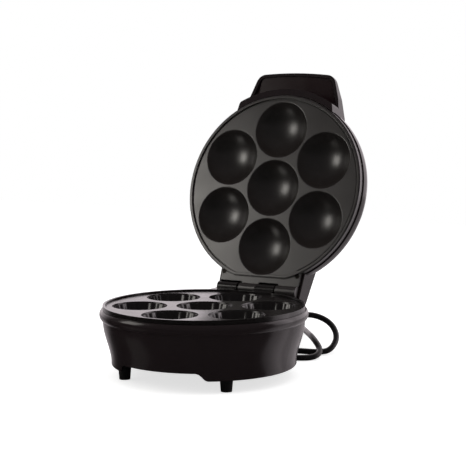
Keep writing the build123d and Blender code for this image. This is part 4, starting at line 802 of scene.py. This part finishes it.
SOFTBOXES = (
    # Warm lamp at the front left, whose mirror image lies just off the plate of the open lid.
    Softbox("key_softbox", (-0.62, -0.43, 0.40), (0.34, 0.38), 0.92, "#fffbf4"),
    # Card at the right, which the housing shows by way of the polished floor.
    Softbox("right_card", (0.88, 0.60, 0.42), (0.60, 0.84), 1.4, "#fff5f9"),
    # Wide lamp overhead for the floor and the soft shadow.
    Softbox("top_softbox", (0.1, 0.0, 1.7), (1.2, 1.2), 12.0, "#ffffff", mirrored=False),
)


@dataclass
class Studio:
    """Pale floor, white surround, lamps and the camera at the photograph's view.

    Attributes:
        eye: Where the camera stands.
        target: What it looks at.
        lens: Its focal length in mm.
        sensor: Its width in mm.
        floor_half: Half of the floor's side.
        floor_sink: How far the floor lies under the feet.
        floor_glow: Light that the floor adds for the camera.
        polish_across: Depth over which reflections find the floor polished.
        polish_levels: How much it mirrors in front of that depth and behind it.
        behind: Direction of the bright side of the surround.
        glow_across: How closely a direction has to agree with it, from dim to bright.
        glow_levels: Light of the dim and the bright side in reflections.
        room_level: Light of the surround on dull surfaces.
    """

    eye: tuple[float, float, float] = (0.87545, -1.46857, 0.35205)
    target: tuple[float, float, float] = (0.0378, 0.0, 0.1648)
    lens: float = 117.77
    sensor: float = 36.0
    floor_half: float = 1.6
    floor_sink: float = 0.0004
    floor_glow: float = 0.70
    polish_across: tuple[float, float] = (-0.13, -0.03)
    polish_levels: tuple[float, float] = (0.05, 0.50)
    behind: tuple[float, float, float] = (-0.17, 0.98, 0.10)
    glow_across: tuple[float, float] = (0.20, 0.80)
    glow_levels: tuple[float, float] = (0.03, 1.15)
    room_level: float = 0.45

    def camera(self) -> bpy.types.Object:
        """Stand the camera where the photograph was taken from.

        Returns:
            The camera.
        """
        data = bpy.data.cameras.new("camera")
        data.lens, data.sensor_width = self.lens, self.sensor
        data.clip_start, data.clip_end = 0.05, 50.0
        camera = add_object("camera", data)
        eye, target = placed(*self.eye), placed(*self.target)
        camera.location = eye
        camera.rotation_mode = "QUATERNION"
        camera.rotation_quaternion = (target - eye).to_track_quat("-Z", "Y")
        bpy.context.scene.camera = camera
        return camera

    def sweep(self) -> bpy.types.Material:
        """Make the floor's paint: pale and lit for the camera, polished for reflections.

        Returns:
            The material.
        """
        material = bpy.data.materials.new("painted_sweep")
        material.use_nodes = True
        tree = material.node_tree
        tree.nodes.clear()
        path = add_node(tree, "ShaderNodeLightPath")
        pale = add_node(tree, "ShaderNodeBsdfDiffuse", Color=linear("#e8e8e8")).outputs[0]
        where = add_node(tree, "ShaderNodeTexCoord").outputs["Object"]
        depth = add_node(tree, "ShaderNodeSeparateXYZ", Vector=where).outputs["Y"]
        polish = smooth_ramp(tree, depth, self.polish_across, self.polish_levels)
        mirror = add_node(tree, "ShaderNodeBsdfGlossy", Color=polish, Roughness=0.14).outputs[0]
        glow = add_node(
            tree, "ShaderNodeEmission", Color=linear("#ffffff"), Strength=self.floor_glow
        ).outputs[0]
        lit = add_node(tree, "ShaderNodeAddShader", i0=pale, i1=glow).outputs[0]
        unseen = add_choice(tree, path.outputs["Is Glossy Ray"], pale, mirror)
        surface = add_choice(tree, seen_itself(tree, path), unseen, lit)
        add_node(tree, "ShaderNodeOutputMaterial", Surface=surface)
        return material

    def floor(self) -> bpy.types.Object:
        """Lay the pale floor, white to the camera with a soft contact shadow.

        Returns:
            The floor.
        """
        half = self.floor_half
        shape = bmesh.new()
        corners = [(-half, -half), (half, -half), (half, half), (-half, half)]
        shape.faces.new([shape.verts.new((x, y, -self.floor_sink)) for x, y in corners])
        mesh = bpy.data.meshes.new("floor")
        shape.to_mesh(mesh)
        shape.free()
        mesh.materials.append(self.sweep())
        floor = add_object("floor", mesh)
        return floor

    def surround(self) -> None:
        """Light the room: white to the camera, bright behind the cooker and dim in front of it."""
        world = bpy.data.worlds.new("studio")
        bpy.context.scene.world = world
        world.use_nodes = True
        tree = world.node_tree
        tree.nodes.clear()
        path = add_node(tree, "ShaderNodeLightPath")
        glossy = path.outputs["Is Glossy Ray"]
        way = add_node(tree, "ShaderNodeTexCoord").outputs["Generated"]
        behind = Vector(self.behind).normalized()
        facing = add_node(tree, "ShaderNodeVectorMath", operation="DOT_PRODUCT", i0=way, i1=behind)
        glow = smooth_ramp(tree, facing.outputs["Value"], self.glow_across, self.glow_levels)
        room = add_node(
            tree, "ShaderNodeMix", data_type="FLOAT", i0=glossy, i2=self.room_level, i3=glow
        ).outputs[0]
        strength = add_node(
            tree, "ShaderNodeMix", data_type="FLOAT", i0=seen_itself(tree, path), i2=room, i3=1.0
        ).outputs[0]
        shade = add_node(
            tree,
            "ShaderNodeMix",
            data_type="RGBA",
            i0=glossy,
            i6=linear("#ffffff"),
            i7=linear("#fff5f9"),
        ).outputs[2]
        sky = add_node(tree, "ShaderNodeBackground", Color=shade, Strength=strength).outputs[0]
        add_node(tree, "ShaderNodeOutputWorld", Surface=sky)

    def build(self) -> None:
        """Set up the floor, the surround, the lamps and the colour view."""
        self.floor()
        self.surround()
        for softbox in SOFTBOXES:
            softbox.hang()
        bpy.context.scene.view_settings.view_transform = "Standard"


def main() -> None:
    """Build every sub-assembly in order and report each piece."""
    logging.basicConfig(level=logging.INFO, format="%(message)s")
    studio = Studio()
    studio.camera()
    for piece in [lid_shell(), *MainsCord().build()]:
        LOG.info("built %s", piece.name)
    LOG.info("dressed %d nodes", dress_nodes())
    studio.build()


if __name__ == "__main__":
    main()
